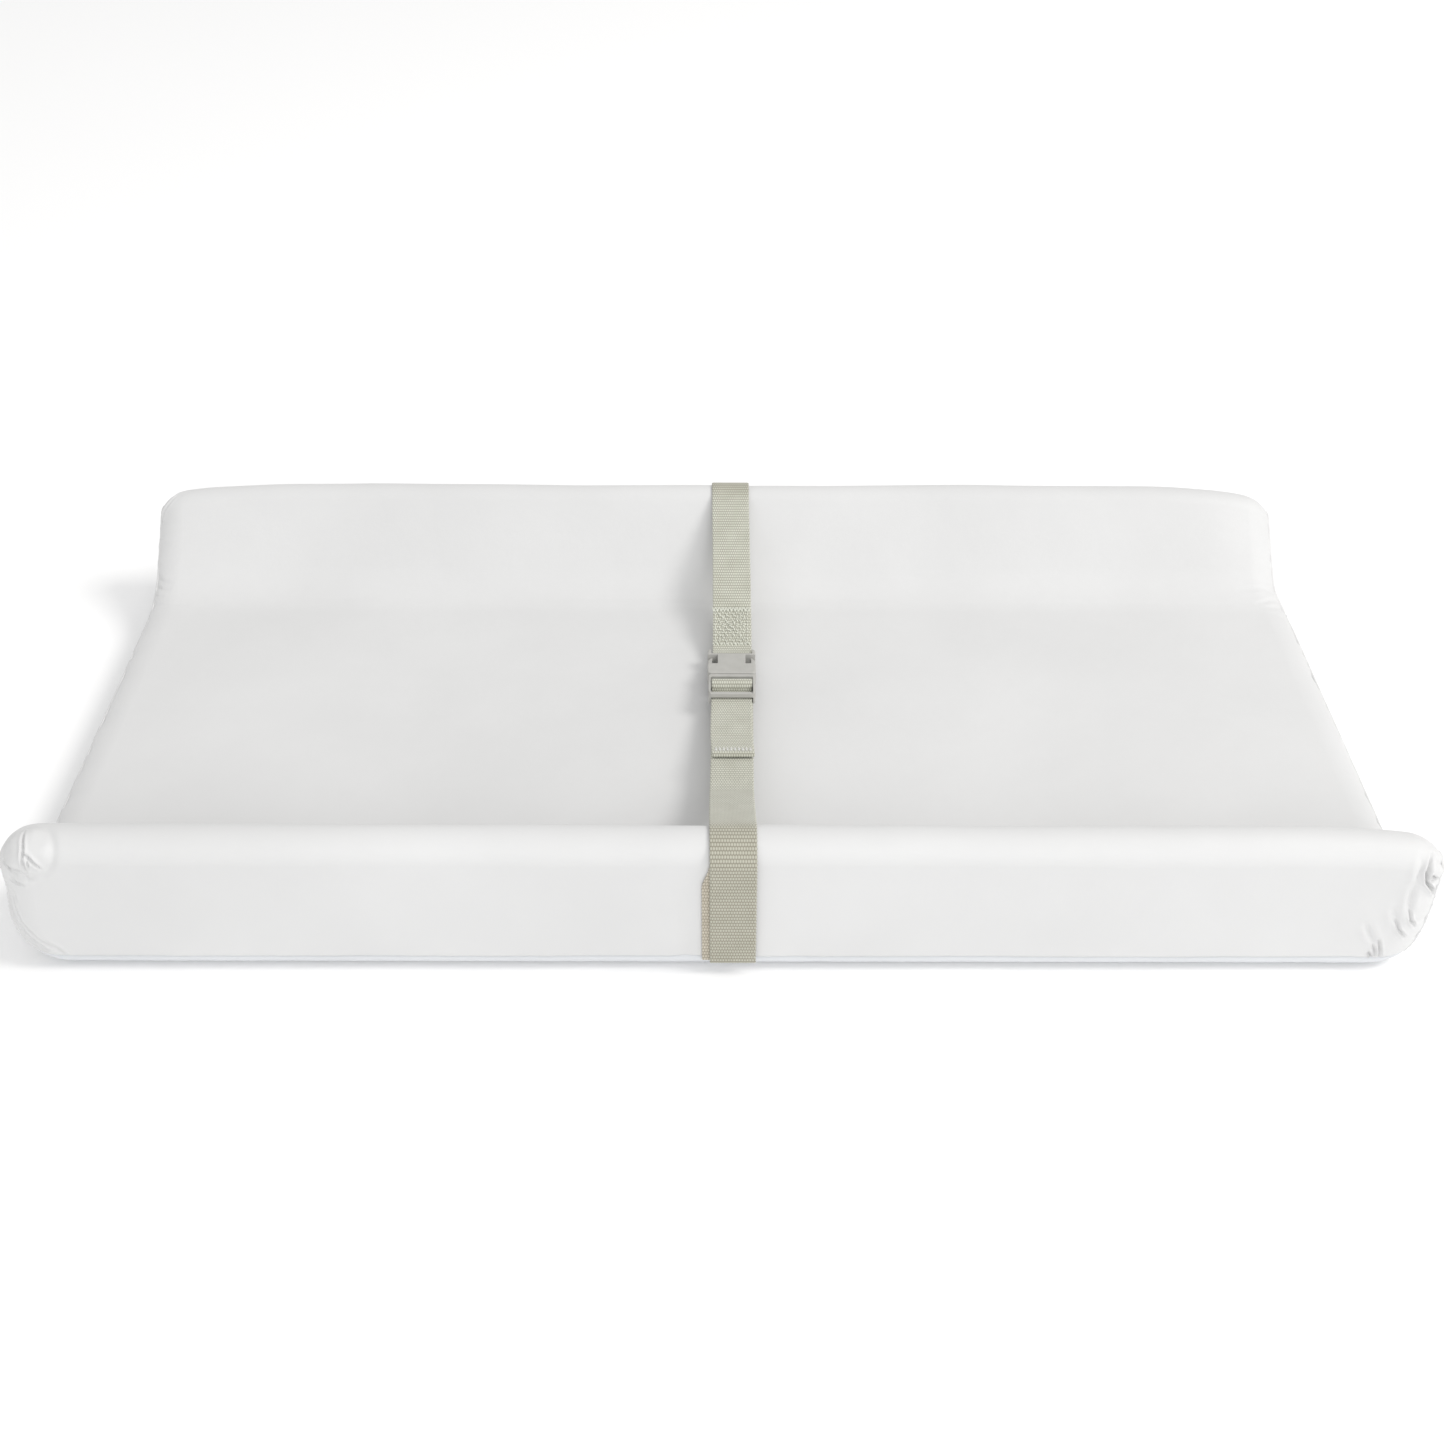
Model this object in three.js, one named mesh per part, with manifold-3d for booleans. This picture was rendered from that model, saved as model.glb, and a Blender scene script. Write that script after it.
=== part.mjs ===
// A two-sided contoured changing pad: three bonded foam pieces inside a wipe-clean fabric cover,
// held shut by a short zipper, with a webbing safety strap and a side-release buckle across the middle.
// Millimetres. +X runs along the pad, -Y is the front long side, +Z is up, and z = 0 is the underside.
import * as THREE from 'three';
import { mergeVertices } from 'three/addons/utils/BufferGeometryUtils.js';
import Module from 'manifold-3d';

const wasm = await Module();
wasm.setup();

// ---- driving dimensions ------------------------------------------------------------------------

const GAP = 0.3; // air left between touching pieces

const PAD = {
  length: 787,
  width: 404,
  height: 89.5,
  valley: 34, // height of the flat middle
  foot: 68, // outer wall to the foot of the inner slope
  crestRadius: 14,
  bottomRadius: 12,
  footRadius: 24,
  endRoundX: 20, // how far back the rounding of each end starts
  endInset: 12, // how far the section has shrunk at the flat of each end
};
const COVER = {
  thickness: 1,
  longSeam: 10, // the seams along the long sides, as an angle down round the bottom edge
  endSeam: 65, // the seams round the ends, as an angle round the rounding of the end
  seamGap: 1.5,
};
const WELT = { halfWidth: 1.1, height: 1.2 };

const WEB = { width: 25.4, thickness: 1.4, x: 8 };
const STRAP = {
  bottomAngle: -12, // where the ends are sewn in, as an angle round the bottom edge
  wallTop: 77,
  settled: 60, // angle round the crest at which the outer layer lies on the cover
  straightEnd: -112,
  frontEnd: 10.5,
  bendRadius: 60,
  skew: 4.5, // how far the backing layer at the front stands out to the left
};
const FOLD = { length: 40, join: 8.5, clear: 0.35, round: -272 }; // the rear strap's folded end
const STITCH = { halfX: 10.6, halfY: 14, line: 0.8, hemHalfX: 11, hemHalfY: 0.5 };

const BUCKLE = { width: 31, tilt: 7, height: 47.5, bevel: 0.8 };
const SOCKET = {
  start: 17.4,
  end: 50.4,
  thickness: 10,
  cavityHalf: 12.8,
  cavityHigh: 3.1,
  cavityEnd: 42.5,
};
const WINDOW = { inner: 8.9, start: 30.3, end: 42.9 };
const SOCKET_BAR = { y: 48.3, radius: 1.9, slotStart: 44.2 };
const PLUG = {
  start: -8,
  end: 16.9,
  thickness: 9,
  narrower: 0.7, // on each side, than the socket
  slotStart: -5.2,
  slotEnd: 12.9,
  barTop: 3.2,
  barUnderside: 0.3, // underside of the end bar, under which the tail comes out
  bandUnderside: -3.2, // roof of the channel under the band, through which the strap runs
};
const LADDER_BAR = { y: 6, z: 1.4, radius: 2.8 };
const SLOT_HALF = 13.3; // half the width of each webbing slot
const ARM = { start: 17.2, thickness: 5.2 };
const WRAP = { startAngle: -80, level: -1.3, turn: 1.6 };
const TAIL = { start: -9, end: -76, flatZ: -2.3, hem: 7, lift: 1.9 };
const MAIN_LEVEL = -4.2; // the strap's middle line below the buckle's middle plane

const ZIP = { length: 262, tapeWidth: 9.4, tape: 0.6, tapeSpare: 6, coilWidth: 4.6, coil: 1.3, z: 17 };
const STOP = { half: 1.2, clear: 0.5, wider: 0.4, height: 1.6 };
const SLIDER = { length: 9, width: 7.4, plate: 0.9, y: -126.5 };
const ARCH = { height: 2.2, length: 5.6, half: 1, wall: 0.8 };
const PULL = { length: 24, width: 7, thickness: 0.9, frame: 1.6, barHalf: 0.45, eye: 6.5 };
const LABEL = { width: 38, drop: 24, thickness: 0.4, x: -290, z: 17 };

// ---- derived values ----------------------------------------------------------------------------

const HALF_LENGTH = PAD.length / 2;
const HALF_WIDTH = PAD.width / 2;
const CREST = { y: HALF_WIDTH - PAD.crestRadius, z: PAD.height - PAD.crestRadius };
const SKIRT = { y: HALF_WIDTH - PAD.bottomRadius, z: PAD.bottomRadius };
const FOOT_Y = HALF_WIDTH - PAD.foot;
const SLOPE = tangentSlope(FOOT_Y, PAD.valley, CREST, PAD.crestRadius);
const BACKING_OFFSET = GAP + WEB.thickness / 2;
const OUTER_OFFSET = BACKING_OFFSET + GAP + WEB.thickness;
const TILT = THREE.MathUtils.degToRad(BUCKLE.tilt);
const ZIP_PROUD = GAP * 3 + ZIP.tape + ZIP.coil + SLIDER.plate + ARCH.height;

const COLOURS = {
  fabric: 0xe9e9e7,
  underside: 0xdfe4ea,
  foam: 0xf2e9c8,
  webbing: 0xbfc0ac,
  thread: 0xc9cabb,
  buckle: 0xbcbbb6,
  zipper: 0xe4e4e2,
  metal: 0xb9bbbd,
  label: 0xf6f6f4,
};

// ---- small tools -------------------------------------------------------------------------------

function degrees(value) {
  return (value * 180) / Math.PI;
}

// Angle of the line from a point that touches a circle on its upper side.
function tangentSlope(y, z, circle, radius) {
  const dy = circle.y - y;
  const dz = circle.z - z;
  return degrees(Math.atan2(dz, dy) + Math.asin(radius / Math.hypot(dy, dz)));
}

function polar(centre, radius, angle) {
  const a = THREE.MathUtils.degToRad(angle);
  return [centre.y + radius * Math.cos(a), centre.z + radius * Math.sin(a)];
}

function arc(centre, radius, from, to, steps) {
  const points = [];
  for (let i = 0; i <= steps; i += 1) {
    points.push(polar(centre, radius, from + ((to - from) * i) / steps));
  }
  return points;
}

function mirrored(points) {
  return points.map(([y, z]) => [-y, z]).reverse();
}

// A closed body from corner points and triangles, turned so that its faces point out.
function body(corners, triangles) {
  let volume = 0;
  for (const [a, b, c] of triangles) {
    const [p, q, r] = [corners[a], corners[b], corners[c]];
    volume += p[0] * (q[1] * r[2] - q[2] * r[1]);
    volume += p[1] * (q[2] * r[0] - q[0] * r[2]);
    volume += p[2] * (q[0] * r[1] - q[1] * r[0]);
  }
  const ordered = volume < 0 ? triangles.map(([a, b, c]) => [a, c, b]) : triangles;
  const geometry = new THREE.BufferGeometry();
  geometry.setAttribute('position', new THREE.Float32BufferAttribute(corners.flat(), 3));
  geometry.setIndex(ordered.flat());
  return geometry;
}

// Triangles between two rings of equal length, whose first points have the given numbers.
function band(first, second, count) {
  const triangles = [];
  for (let i = 0; i < count; i += 1) {
    const next = (i + 1) % count;
    triangles.push([first + i, first + next, second + next]);
    triangles.push([first + i, second + next, second + i]);
  }
  return triangles;
}

// Triangles over one flat ring of [y, z] points.
function capOf(ring, first, flip) {
  const outline = ring.map(([y, z]) => new THREE.Vector2(y, z));
  const faces = THREE.ShapeUtils.triangulateShape(outline, []);
  const turned = flip ? faces.map(([a, b, c]) => [a, c, b]) : faces;
  return turned.map((face) => face.map((corner) => first + corner));
}

// A solid through equal rings of [x, y, z] points. A flat ring is also given as the outline of each end.
function loft(rings, startOutline, endOutline) {
  const count = rings[0].length;
  const last = (rings.length - 1) * count;
  const triangles = [...capOf(startOutline, 0, false), ...capOf(endOutline, last, true)];
  for (let i = 0; i + 1 < rings.length; i += 1) {
    triangles.push(...band((i + 1) * count, i * count, count));
  }
  return body(rings.flat(), triangles);
}

// A sheet between two equal grids of points, closed along its four borders.
function sheet(outer, inner) {
  const rows = outer.length;
  const columns = outer[0].length;
  const offset = rows * columns;
  const point = (i, j) => i * columns + j;
  const triangles = [];
  for (let i = 0; i + 1 < rows; i += 1) {
    for (let j = 0; j + 1 < columns; j += 1) {
      const [a, b, c, d] = [point(i, j), point(i + 1, j), point(i + 1, j + 1), point(i, j + 1)];
      triangles.push([a, b, c], [a, c, d]);
      triangles.push([offset + a, offset + c, offset + b], [offset + a, offset + d, offset + c]);
    }
  }
  const border = [];
  for (let i = 0; i < rows; i += 1) border.push(point(i, 0));
  for (let j = 1; j < columns; j += 1) border.push(point(rows - 1, j));
  for (let i = rows - 2; i >= 0; i -= 1) border.push(point(i, columns - 1));
  for (let j = columns - 2; j > 0; j -= 1) border.push(point(0, j));
  border.forEach((a, k) => {
    const b = border[(k + 1) % border.length];
    triangles.push([b, a, offset + a], [b, offset + a, offset + b]);
  });
  return body([...outer.flat(), ...inner.flat()], triangles);
}

// Flat webbing of constant width along a middle line of [y, z] points.
function webbing(line, centreX = WEB.x, width = WEB.width, thickness = WEB.thickness) {
  const rings = line.map(([y, z], i) => {
    const before = line[Math.max(i - 1, 0)];
    const after = line[Math.min(i + 1, line.length - 1)];
    const into = new THREE.Vector2(y - before[0], z - before[1]).normalize();
    const out = new THREE.Vector2(after[0] - y, after[1] - z).normalize();
    const along = into.clone().add(out).normalize();
    const normal = new THREE.Vector2(-along.y, along.x);
    const straight = i === 0 || i === line.length - 1 ? 1 : Math.max(along.dot(into), 0.5);
    const half = thickness / 2 / straight;
    const left = centreX - width / 2;
    const right = centreX + width / 2;
    const top = [y + normal.x * half, z + normal.y * half];
    const under = [y - normal.x * half, z - normal.y * half];
    return [[left, ...top], [right, ...top], [right, ...under], [left, ...under]];
  });
  const square = [[0, 0], [1, 0], [1, 1], [0, 1]];
  return loft(rings, square, square);
}

function toManifold(geometry) {
  const plain = geometry.clone();
  plain.deleteAttribute('normal');
  plain.deleteAttribute('uv');
  const merged = mergeVertices(plain, 1e-5);
  return new wasm.Manifold(new wasm.Mesh({
    numProp: 3,
    vertProperties: new Float32Array(merged.attributes.position.array),
    triVerts: new Uint32Array(merged.index.array),
  }));
}

function toGeometry(manifold) {
  const made = manifold.getMesh();
  const geometry = new THREE.BufferGeometry();
  geometry.setAttribute('position', new THREE.Float32BufferAttribute(made.vertProperties, 3));
  geometry.setIndex(Array.from(made.triVerts));
  return geometry;
}

function block(low, high) {
  const size = high.map((value, i) => value - low[i]);
  const middle = high.map((value, i) => (value + low[i]) / 2);
  return new THREE.BoxGeometry(...size).translate(...middle);
}

// A flat plate in the XY plane, centred on z = 0, with its edges bevelled.
function plate(shape, thickness, bevel) {
  const settings = {
    depth: thickness - 2 * bevel,
    bevelEnabled: true,
    bevelThickness: bevel,
    bevelSize: bevel,
    bevelOffset: -bevel,
    bevelSegments: 2,
    curveSegments: 4,
  };
  return new THREE.ExtrudeGeometry(shape, settings).translate(0, 0, -thickness / 2 + bevel);
}

function roundedRectangle(left, low, right, high, radius) {
  const shape = new THREE.Shape();
  shape.absarc(right - radius, high - radius, radius, 0, Math.PI / 2, false);
  shape.absarc(left + radius, high - radius, radius, Math.PI / 2, Math.PI, false);
  shape.absarc(left + radius, low + radius, radius, Math.PI, 1.5 * Math.PI, false);
  shape.absarc(right - radius, low + radius, radius, 1.5 * Math.PI, 2 * Math.PI, false);
  return shape;
}

function crossBar(y, z, radius, halfLength) {
  const bar = new THREE.CylinderGeometry(radius, radius, 2 * halfLength, 16);
  return bar.rotateZ(Math.PI / 2).translate(0, y, z);
}

function piece(name, geometry, colour, roughness = 0.8, metalness = 0) {
  const material = new THREE.MeshStandardMaterial({ color: COLOURS[colour], roughness, metalness });
  const mesh = new THREE.Mesh(geometry, material);
  mesh.name = name;
  return mesh;
}

// ---- the pad's section -------------------------------------------------------------------------

// From the rear bottom seam over both crests to the front bottom seam, moved inwards by inset.
function upperSection(inset) {
  const tangentLength = PAD.footRadius * Math.tan(THREE.MathUtils.degToRad(SLOPE / 2));
  const footCentre = { y: FOOT_Y - tangentLength, z: PAD.valley + PAD.footRadius };
  const rear = [
    ...arc(SKIRT, PAD.bottomRadius - inset, -COVER.longSeam, 0, 2),
    ...arc(CREST, PAD.crestRadius - inset, 0, 90 + SLOPE, 9),
    ...arc(footCentre, PAD.footRadius + inset, 270 + SLOPE, 270, 5),
  ];
  return [...rear, ...mirrored(rear)];
}

// From the front bottom seam under the pad to the rear bottom seam.
function lowerSection(inset, seamAngle = COVER.longSeam) {
  const rear = arc(SKIRT, PAD.bottomRadius - inset, -90, -seamAngle, 5);
  return [...mirrored(rear), ...rear];
}

function wholeSection(inset) {
  return [...upperSection(inset), ...lowerSection(inset).slice(1, -1)];
}

// Where the surface stands at a rounding angle of one end: 0 on the long sides, 90 on the flat end.
function endStation(angle, depth) {
  const a = THREE.MathUtils.degToRad(angle);
  const x = HALF_LENGTH - PAD.endRoundX + PAD.endRoundX * Math.sin(a) - depth * Math.sin(a);
  return { x, inset: PAD.endInset * (1 - Math.cos(a)) + depth * Math.cos(a) };
}

function stationsAlong(angles, depth) {
  const right = angles.map((angle) => endStation(angle, depth));
  const left = right.map(({ x, inset }) => ({ x: -x, inset })).reverse();
  return [...left, ...right];
}

function at(x, points) {
  return points.map(([y, z]) => [x, y, z]);
}

// ---- foam --------------------------------------------------------------------------------------

const FOAM_DEPTH = COVER.thickness + GAP;
const ROUNDING = [0, 30, 60, 90];

function foamLoft(section) {
  const stations = stationsAlong(ROUNDING, FOAM_DEPTH);
  const outlines = stations.map(({ inset }) => section(inset));
  const rings = stations.map(({ x }, i) => at(x, outlines[i]));
  return loft(rings, outlines[0], outlines.at(-1));
}

function foamBaseSection(inset) {
  const rear = [
    ...arc(SKIRT, PAD.bottomRadius - inset, -90, 0, 4),
    [HALF_WIDTH - inset, PAD.valley - inset],
  ];
  return [...rear, ...mirrored(rear)];
}

function foamWedgeSection(inset) {
  const slope = THREE.MathUtils.degToRad(SLOPE);
  const floor = PAD.valley - inset + GAP;
  const slopeY = FOOT_Y + inset * Math.sin(slope);
  const rise = floor - PAD.valley + inset * Math.cos(slope);
  return [
    [HALF_WIDTH - inset, floor],
    ...arc(CREST, PAD.crestRadius - inset, 0, 90 + SLOPE, 8),
    [slopeY + rise / Math.tan(slope), floor],
  ];
}

function foamPieces() {
  const rear = foamLoft(foamWedgeSection);
  const front = foamLoft((inset) => mirrored(foamWedgeSection(inset)));
  return [
    piece('foam_base', foamLoft(foamBaseSection), 'foam', 0.95),
    piece('foam_wedge_rear', rear, 'foam', 0.95),
    piece('foam_wedge_front', front, 'foam', 0.95),
  ];
}

// ---- cover -------------------------------------------------------------------------------------

const SIDE_ANGLES = [0, 16, 32, 48, COVER.endSeam - COVER.seamGap];
const END_ANGLES = [COVER.endSeam + COVER.seamGap, 74, 82, 90];

function coverSheet(section) {
  const grid = (depth) => stationsAlong(SIDE_ANGLES, depth).map(({ x, inset }) => at(x, section(inset)));
  return sheet(grid(0), grid(COVER.thickness));
}

// The lower panel stops short of the upper one by the width of the seam.
function undersideSection(inset) {
  return lowerSection(inset, COVER.longSeam + 3 * COVER.seamGap);
}

function coverEnd(side) {
  const rings = [];
  for (const depth of [0, COVER.thickness]) {
    for (const angle of END_ANGLES) {
      const { x, inset } = endStation(angle, depth);
      rings.push({ x: side * x, outline: wholeSection(inset) });
    }
  }
  const count = rings[0].outline.length;
  const perSkin = END_ANGLES.length;
  const triangles = [];
  for (let i = 0; i + 1 < perSkin; i += 1) {
    triangles.push(...band(i * count, (i + 1) * count, count));
    triangles.push(...band((perSkin + i + 1) * count, (perSkin + i) * count, count));
  }
  triangles.push(...band(perSkin * count, 0, count));
  triangles.push(...capOf(rings[perSkin - 1].outline, (perSkin - 1) * count, false));
  triangles.push(...capOf(rings[2 * perSkin - 1].outline, (2 * perSkin - 1) * count, true));
  return body(rings.flatMap(({ x, outline }) => at(x, outline)), triangles);
}

// A narrow folded strip that stands over the seam between an end panel and the long panels.
function endWelt(side) {
  const turn = degrees(WELT.halfWidth / PAD.endRoundX);
  const section = [
    [COVER.endSeam - turn, -GAP],
    [COVER.endSeam + turn, -GAP],
    [COVER.endSeam + turn, -GAP - WELT.height],
    [COVER.endSeam - turn, -GAP - WELT.height],
  ];
  const rings = section.map(([angle, depth]) => {
    const { x, inset } = endStation(angle, depth);
    return at(side * x, wholeSection(inset));
  });
  const count = rings[0].length;
  const triangles = rings.flatMap((_, i) => band(i * count, ((i + 1) % rings.length) * count, count));
  return body(rings.flat(), triangles);
}

function coverPieces() {
  const labelY = HALF_WIDTH + GAP;
  const label = block(
    [LABEL.x - LABEL.width / 2, labelY, LABEL.z],
    [LABEL.x + LABEL.width / 2, labelY + LABEL.thickness, LABEL.z + LABEL.drop],
  );
  return [
    piece('cover_top_panel', coverSheet(upperSection), 'fabric', 0.55),
    piece('cover_bottom_panel', coverSheet(undersideSection), 'underside', 0.6),
    piece('cover_end_left', coverEnd(-1), 'fabric', 0.55),
    piece('cover_end_right', coverEnd(1), 'fabric', 0.55),
    piece('end_welt_left', endWelt(-1), 'fabric', 0.55),
    piece('end_welt_right', endWelt(1), 'fabric', 0.55),
    piece('care_label', label, 'label', 0.7),
  ];
}

// ---- strap -------------------------------------------------------------------------------------

// Up the outside wall at a distance from the cover, from the bottom seam to a height.
function wallLine(offset, top) {
  return [...arc(SKIRT, PAD.bottomRadius + offset, STRAP.bottomAngle, 0, 4), [HALF_WIDTH + offset, top]];
}

// Over the crest, settling from the outer layer's distance onto the cover.
function crestLine(leaveAngle) {
  const outer = PAD.crestRadius + OUTER_OFFSET;
  const inner = PAD.crestRadius + BACKING_OFFSET;
  const startAngle = degrees(Math.asin((STRAP.wallTop + GAP - CREST.z) / outer));
  const points = [];
  const steps = 11;
  for (let i = 0; i <= steps; i += 1) {
    const angle = startAngle + ((leaveAngle - startAngle) * i) / steps;
    const settled = THREE.MathUtils.smoothstep(angle, startAngle, STRAP.settled);
    points.push(polar(CREST, outer + (inner - outer) * settled, angle));
  }
  return points;
}

// A point of the buckle's own frame, where y runs to the rear and z is up, in the pad's frame.
function fromBuckle(y, z) {
  return [
    y * Math.cos(TILT) + z * Math.sin(TILT),
    BUCKLE.height - y * Math.sin(TILT) + z * Math.cos(TILT),
  ];
}

const LOOP_RADIUS = SOCKET_BAR.radius + 0.4 + WEB.thickness / 2;
const BAR_AT = fromBuckle(SOCKET_BAR.y, 0);
const REAR_SLOPE = rearSlope();

// The rear strap runs over the crest and reaches the underside of the socket's bar.
function rearSlope() {
  const dy = CREST.y - BAR_AT[0];
  const dz = CREST.z - BAR_AT[1];
  const reach = PAD.crestRadius + BACKING_OFFSET + LOOP_RADIUS;
  return degrees(Math.atan2(dz, dy) + Math.asin(reach / Math.hypot(dy, dz)));
}

// A point on the rear strap: along from the bar up the strap, and off from its middle line.
function onRearStrap(along, off) {
  const a = THREE.MathUtils.degToRad(REAR_SLOPE);
  const [y, z] = polar({ y: BAR_AT[0], z: BAR_AT[1] }, LOOP_RADIUS, REAR_SLOPE - 90);
  return [y + along * Math.cos(a) - off * Math.sin(a), z + along * Math.sin(a) + off * Math.cos(a)];
}

const FOLD_LEVEL = WEB.thickness + FOLD.clear;

// Over the crest, round the socket's bar and back, folded flat on top of itself.
function rearSpanLine() {
  const bar = { y: BAR_AT[0], z: BAR_AT[1] };
  const comingDown = (FOLD_LEVEL + 2 * LOOP_RADIUS) / 2 - 0.5;
  return [
    ...crestLine(90 + REAR_SLOPE),
    ...arc(bar, LOOP_RADIUS, REAR_SLOPE - 90, FOLD.round, 12),
    onRearStrap(FOLD.join / 2, comingDown),
    onRearStrap(FOLD.join, FOLD_LEVEL + 0.25),
    onRearStrap(FOLD.join + 4, FOLD_LEVEL),
    onRearStrap(FOLD.length, FOLD_LEVEL),
  ];
}

function frontSpanLine() {
  const [bendY, bendZ] = fromBuckle(STRAP.straightEnd, MAIN_LEVEL);
  const climb = tangentSlope(-bendY, bendZ, CREST, PAD.crestRadius + BACKING_OFFSET);
  const bend = climb - BUCKLE.tilt;
  const reach = STRAP.bendRadius * Math.tan(THREE.MathUtils.degToRad(bend / 2));
  const start = fromBuckle(STRAP.straightEnd + reach, MAIN_LEVEL);
  const centre = {
    y: start[0] + STRAP.bendRadius * Math.sin(TILT),
    z: start[1] + STRAP.bendRadius * Math.cos(TILT),
  };
  return [
    ...mirrored(crestLine(90 + climb)).reverse(),
    ...arc(centre, STRAP.bendRadius, 270 - climb, 270 - BUCKLE.tilt, 5),
    fromBuckle(STRAP.frontEnd, MAIN_LEVEL),
  ];
}

function strapPieces() {
  const backingTop = STRAP.wallTop - 1;
  const wall = wallLine(OUTER_OFFSET, STRAP.wallTop);
  const backing = wallLine(BACKING_OFFSET, backingTop);
  return [
    piece('rear_strap_wall', webbing(wall), 'webbing', 0.85),
    piece('rear_strap_backing', webbing(backing), 'webbing', 0.85),
    piece('rear_strap_span', webbing(rearSpanLine()), 'webbing', 0.85),
    piece('front_strap_wall', webbing(mirrored(wall)), 'webbing', 0.85),
    piece('front_strap_backing', webbing(mirrored(backing), WEB.x - STRAP.skew), 'webbing', 0.85),
    piece('front_strap_span', webbing(frontSpanLine()), 'webbing', 0.85),
  ];
}

// Thread sewn through the folded end of the rear strap: a box with a cross in it.
function boxStitch() {
  const { halfX, halfY, line } = STITCH;
  const frame = toManifold(block([-halfX, -halfY, 0], [halfX, halfY, GAP]));
  const hole = toManifold(block([line - halfX, line - halfY, -1], [halfX - line, halfY - line, 1]));
  const diagonal = Math.hypot(halfX, halfY) - line;
  const turn = Math.atan2(halfY - line, halfX - line);
  const stroke = block([-diagonal, -line / 2, 0], [diagonal, line / 2, GAP]);
  const cross = toManifold(stroke.clone().rotateZ(turn)).add(toManifold(stroke.clone().rotateZ(-turn)));
  const mesh = piece('box_stitch', toGeometry(frame.subtract(hole).add(cross)), 'thread', 0.7);
  const [y, z] = onRearStrap(FOLD.length - halfY - 1.5, FOLD_LEVEL + WEB.thickness / 2 + GAP);
  mesh.position.set(WEB.x, y, z);
  mesh.rotation.x = THREE.MathUtils.degToRad(REAR_SLOPE);
  return mesh;
}

// ---- buckle, in its own frame ------------------------------------------------------------------

function socket() {
  const half = BUCKLE.width / 2;
  const high = SOCKET.thickness;
  const outline = roundedRectangle(-half, SOCKET.start, half, SOCKET.end, 2.5);
  let solid = toManifold(plate(outline, SOCKET.thickness, BUCKLE.bevel));
  const cuts = [
    block(
      [-SOCKET.cavityHalf, SOCKET.start - 1, -SOCKET.cavityHigh],
      [SOCKET.cavityHalf, SOCKET.cavityEnd, SOCKET.cavityHigh],
    ),
    block([-SLOT_HALF, SOCKET_BAR.slotStart, -high], [SLOT_HALF, SOCKET.end + 1, high]),
  ];
  for (const side of [-1, 1]) {
    const [near, far] = [side * WINDOW.inner, side * (half + 1)];
    cuts.push(block([Math.min(near, far), WINDOW.start, -high], [Math.max(near, far), WINDOW.end, high]));
  }
  for (const cut of cuts) solid = solid.subtract(toManifold(cut));
  return toGeometry(solid.add(toManifold(crossBar(SOCKET_BAR.y, 0, SOCKET_BAR.radius, SLOT_HALF + 1))));
}

function plug() {
  const half = BUCKLE.width / 2 - PLUG.narrower;
  const outline = roundedRectangle(-half, PLUG.start, half, PLUG.end, 2.2);
  const through = (from, to, top) => block([-SLOT_HALF, from, -PLUG.thickness], [SLOT_HALF, to, top]);
  const slot = through(PLUG.slotStart, PLUG.slotEnd, PLUG.thickness);
  const way = through(PLUG.start - 1, PLUG.slotStart + 1, PLUG.barUnderside);
  const channel = through(PLUG.slotEnd - 1, PLUG.end + 1, PLUG.bandUnderside);
  const overBar = block(
    [-SLOT_HALF, PLUG.start - 1, PLUG.barTop],
    [SLOT_HALF, PLUG.slotStart + 1, PLUG.thickness],
  );
  const bar = crossBar(LADDER_BAR.y, LADDER_BAR.z, LADDER_BAR.radius, SLOT_HALF + 1);
  let solid = toManifold(plate(outline, PLUG.thickness, BUCKLE.bevel));
  for (const cut of [slot, way, channel, overBar]) solid = solid.subtract(toManifold(cut));
  return toGeometry(solid.add(toManifold(bar)));
}

// One springy side arm with its barb and thumb pad; side is -1 or 1.
function plugArm(side) {
  const outline = [
    [8.2, ARM.start], [10.4, ARM.start], [11.7, 29.9], [14.2, 30.9], [15.2, 33.6], [15.2, 38.2],
    [13.6, 41.8], [12.2, 41.8], [12.6, 38.5], [12.3, 33.2], [9.7, 30.4],
  ];
  const shape = new THREE.Shape(outline.map(([x, y]) => new THREE.Vector2(side * x, y)));
  return plate(shape, ARM.thickness, 0.3);
}

// The webbing's turn over the ladder bar, down and under the end bar.
function wrapLine() {
  const bar = { y: LADDER_BAR.y, z: LADDER_BAR.z };
  const radius = LADDER_BAR.radius + GAP + WEB.thickness / 2;
  const corner = { y: bar.y - radius - WRAP.turn, z: WRAP.level + WRAP.turn };
  return [
    ...arc(bar, radius, WRAP.startAngle, 180, 14),
    ...arc(corner, WRAP.turn, 0, -90, 4),
    [TAIL.start + GAP + 0.4, WRAP.level],
  ];
}

// The loose end: flat on the strap below it, then lifting to a hem that is folded back under.
function tailLine() {
  const end = TAIL.end;
  const fold = (WEB.thickness + GAP) / 2;
  const top = TAIL.flatZ + TAIL.lift;
  return [
    [TAIL.start, WRAP.level],
    [TAIL.start - 5, WRAP.level - 0.3],
    [TAIL.start - 12, TAIL.flatZ],
    [end + 22, TAIL.flatZ],
    [end + 12, TAIL.flatZ + 1],
    [end + 4, top],
    ...arc({ y: end, z: top - fold }, fold, 90, 270, 4),
    [end + TAIL.hem, top - 2 * fold],
  ];
}

function hemStitch() {
  const row = block([-STITCH.hemHalfX, -STITCH.hemHalfY, 0], [STITCH.hemHalfX, STITCH.hemHalfY, GAP]);
  return row.translate(0, TAIL.end + TAIL.hem / 2, TAIL.flatZ + TAIL.lift + WEB.thickness / 2 + GAP);
}

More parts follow.
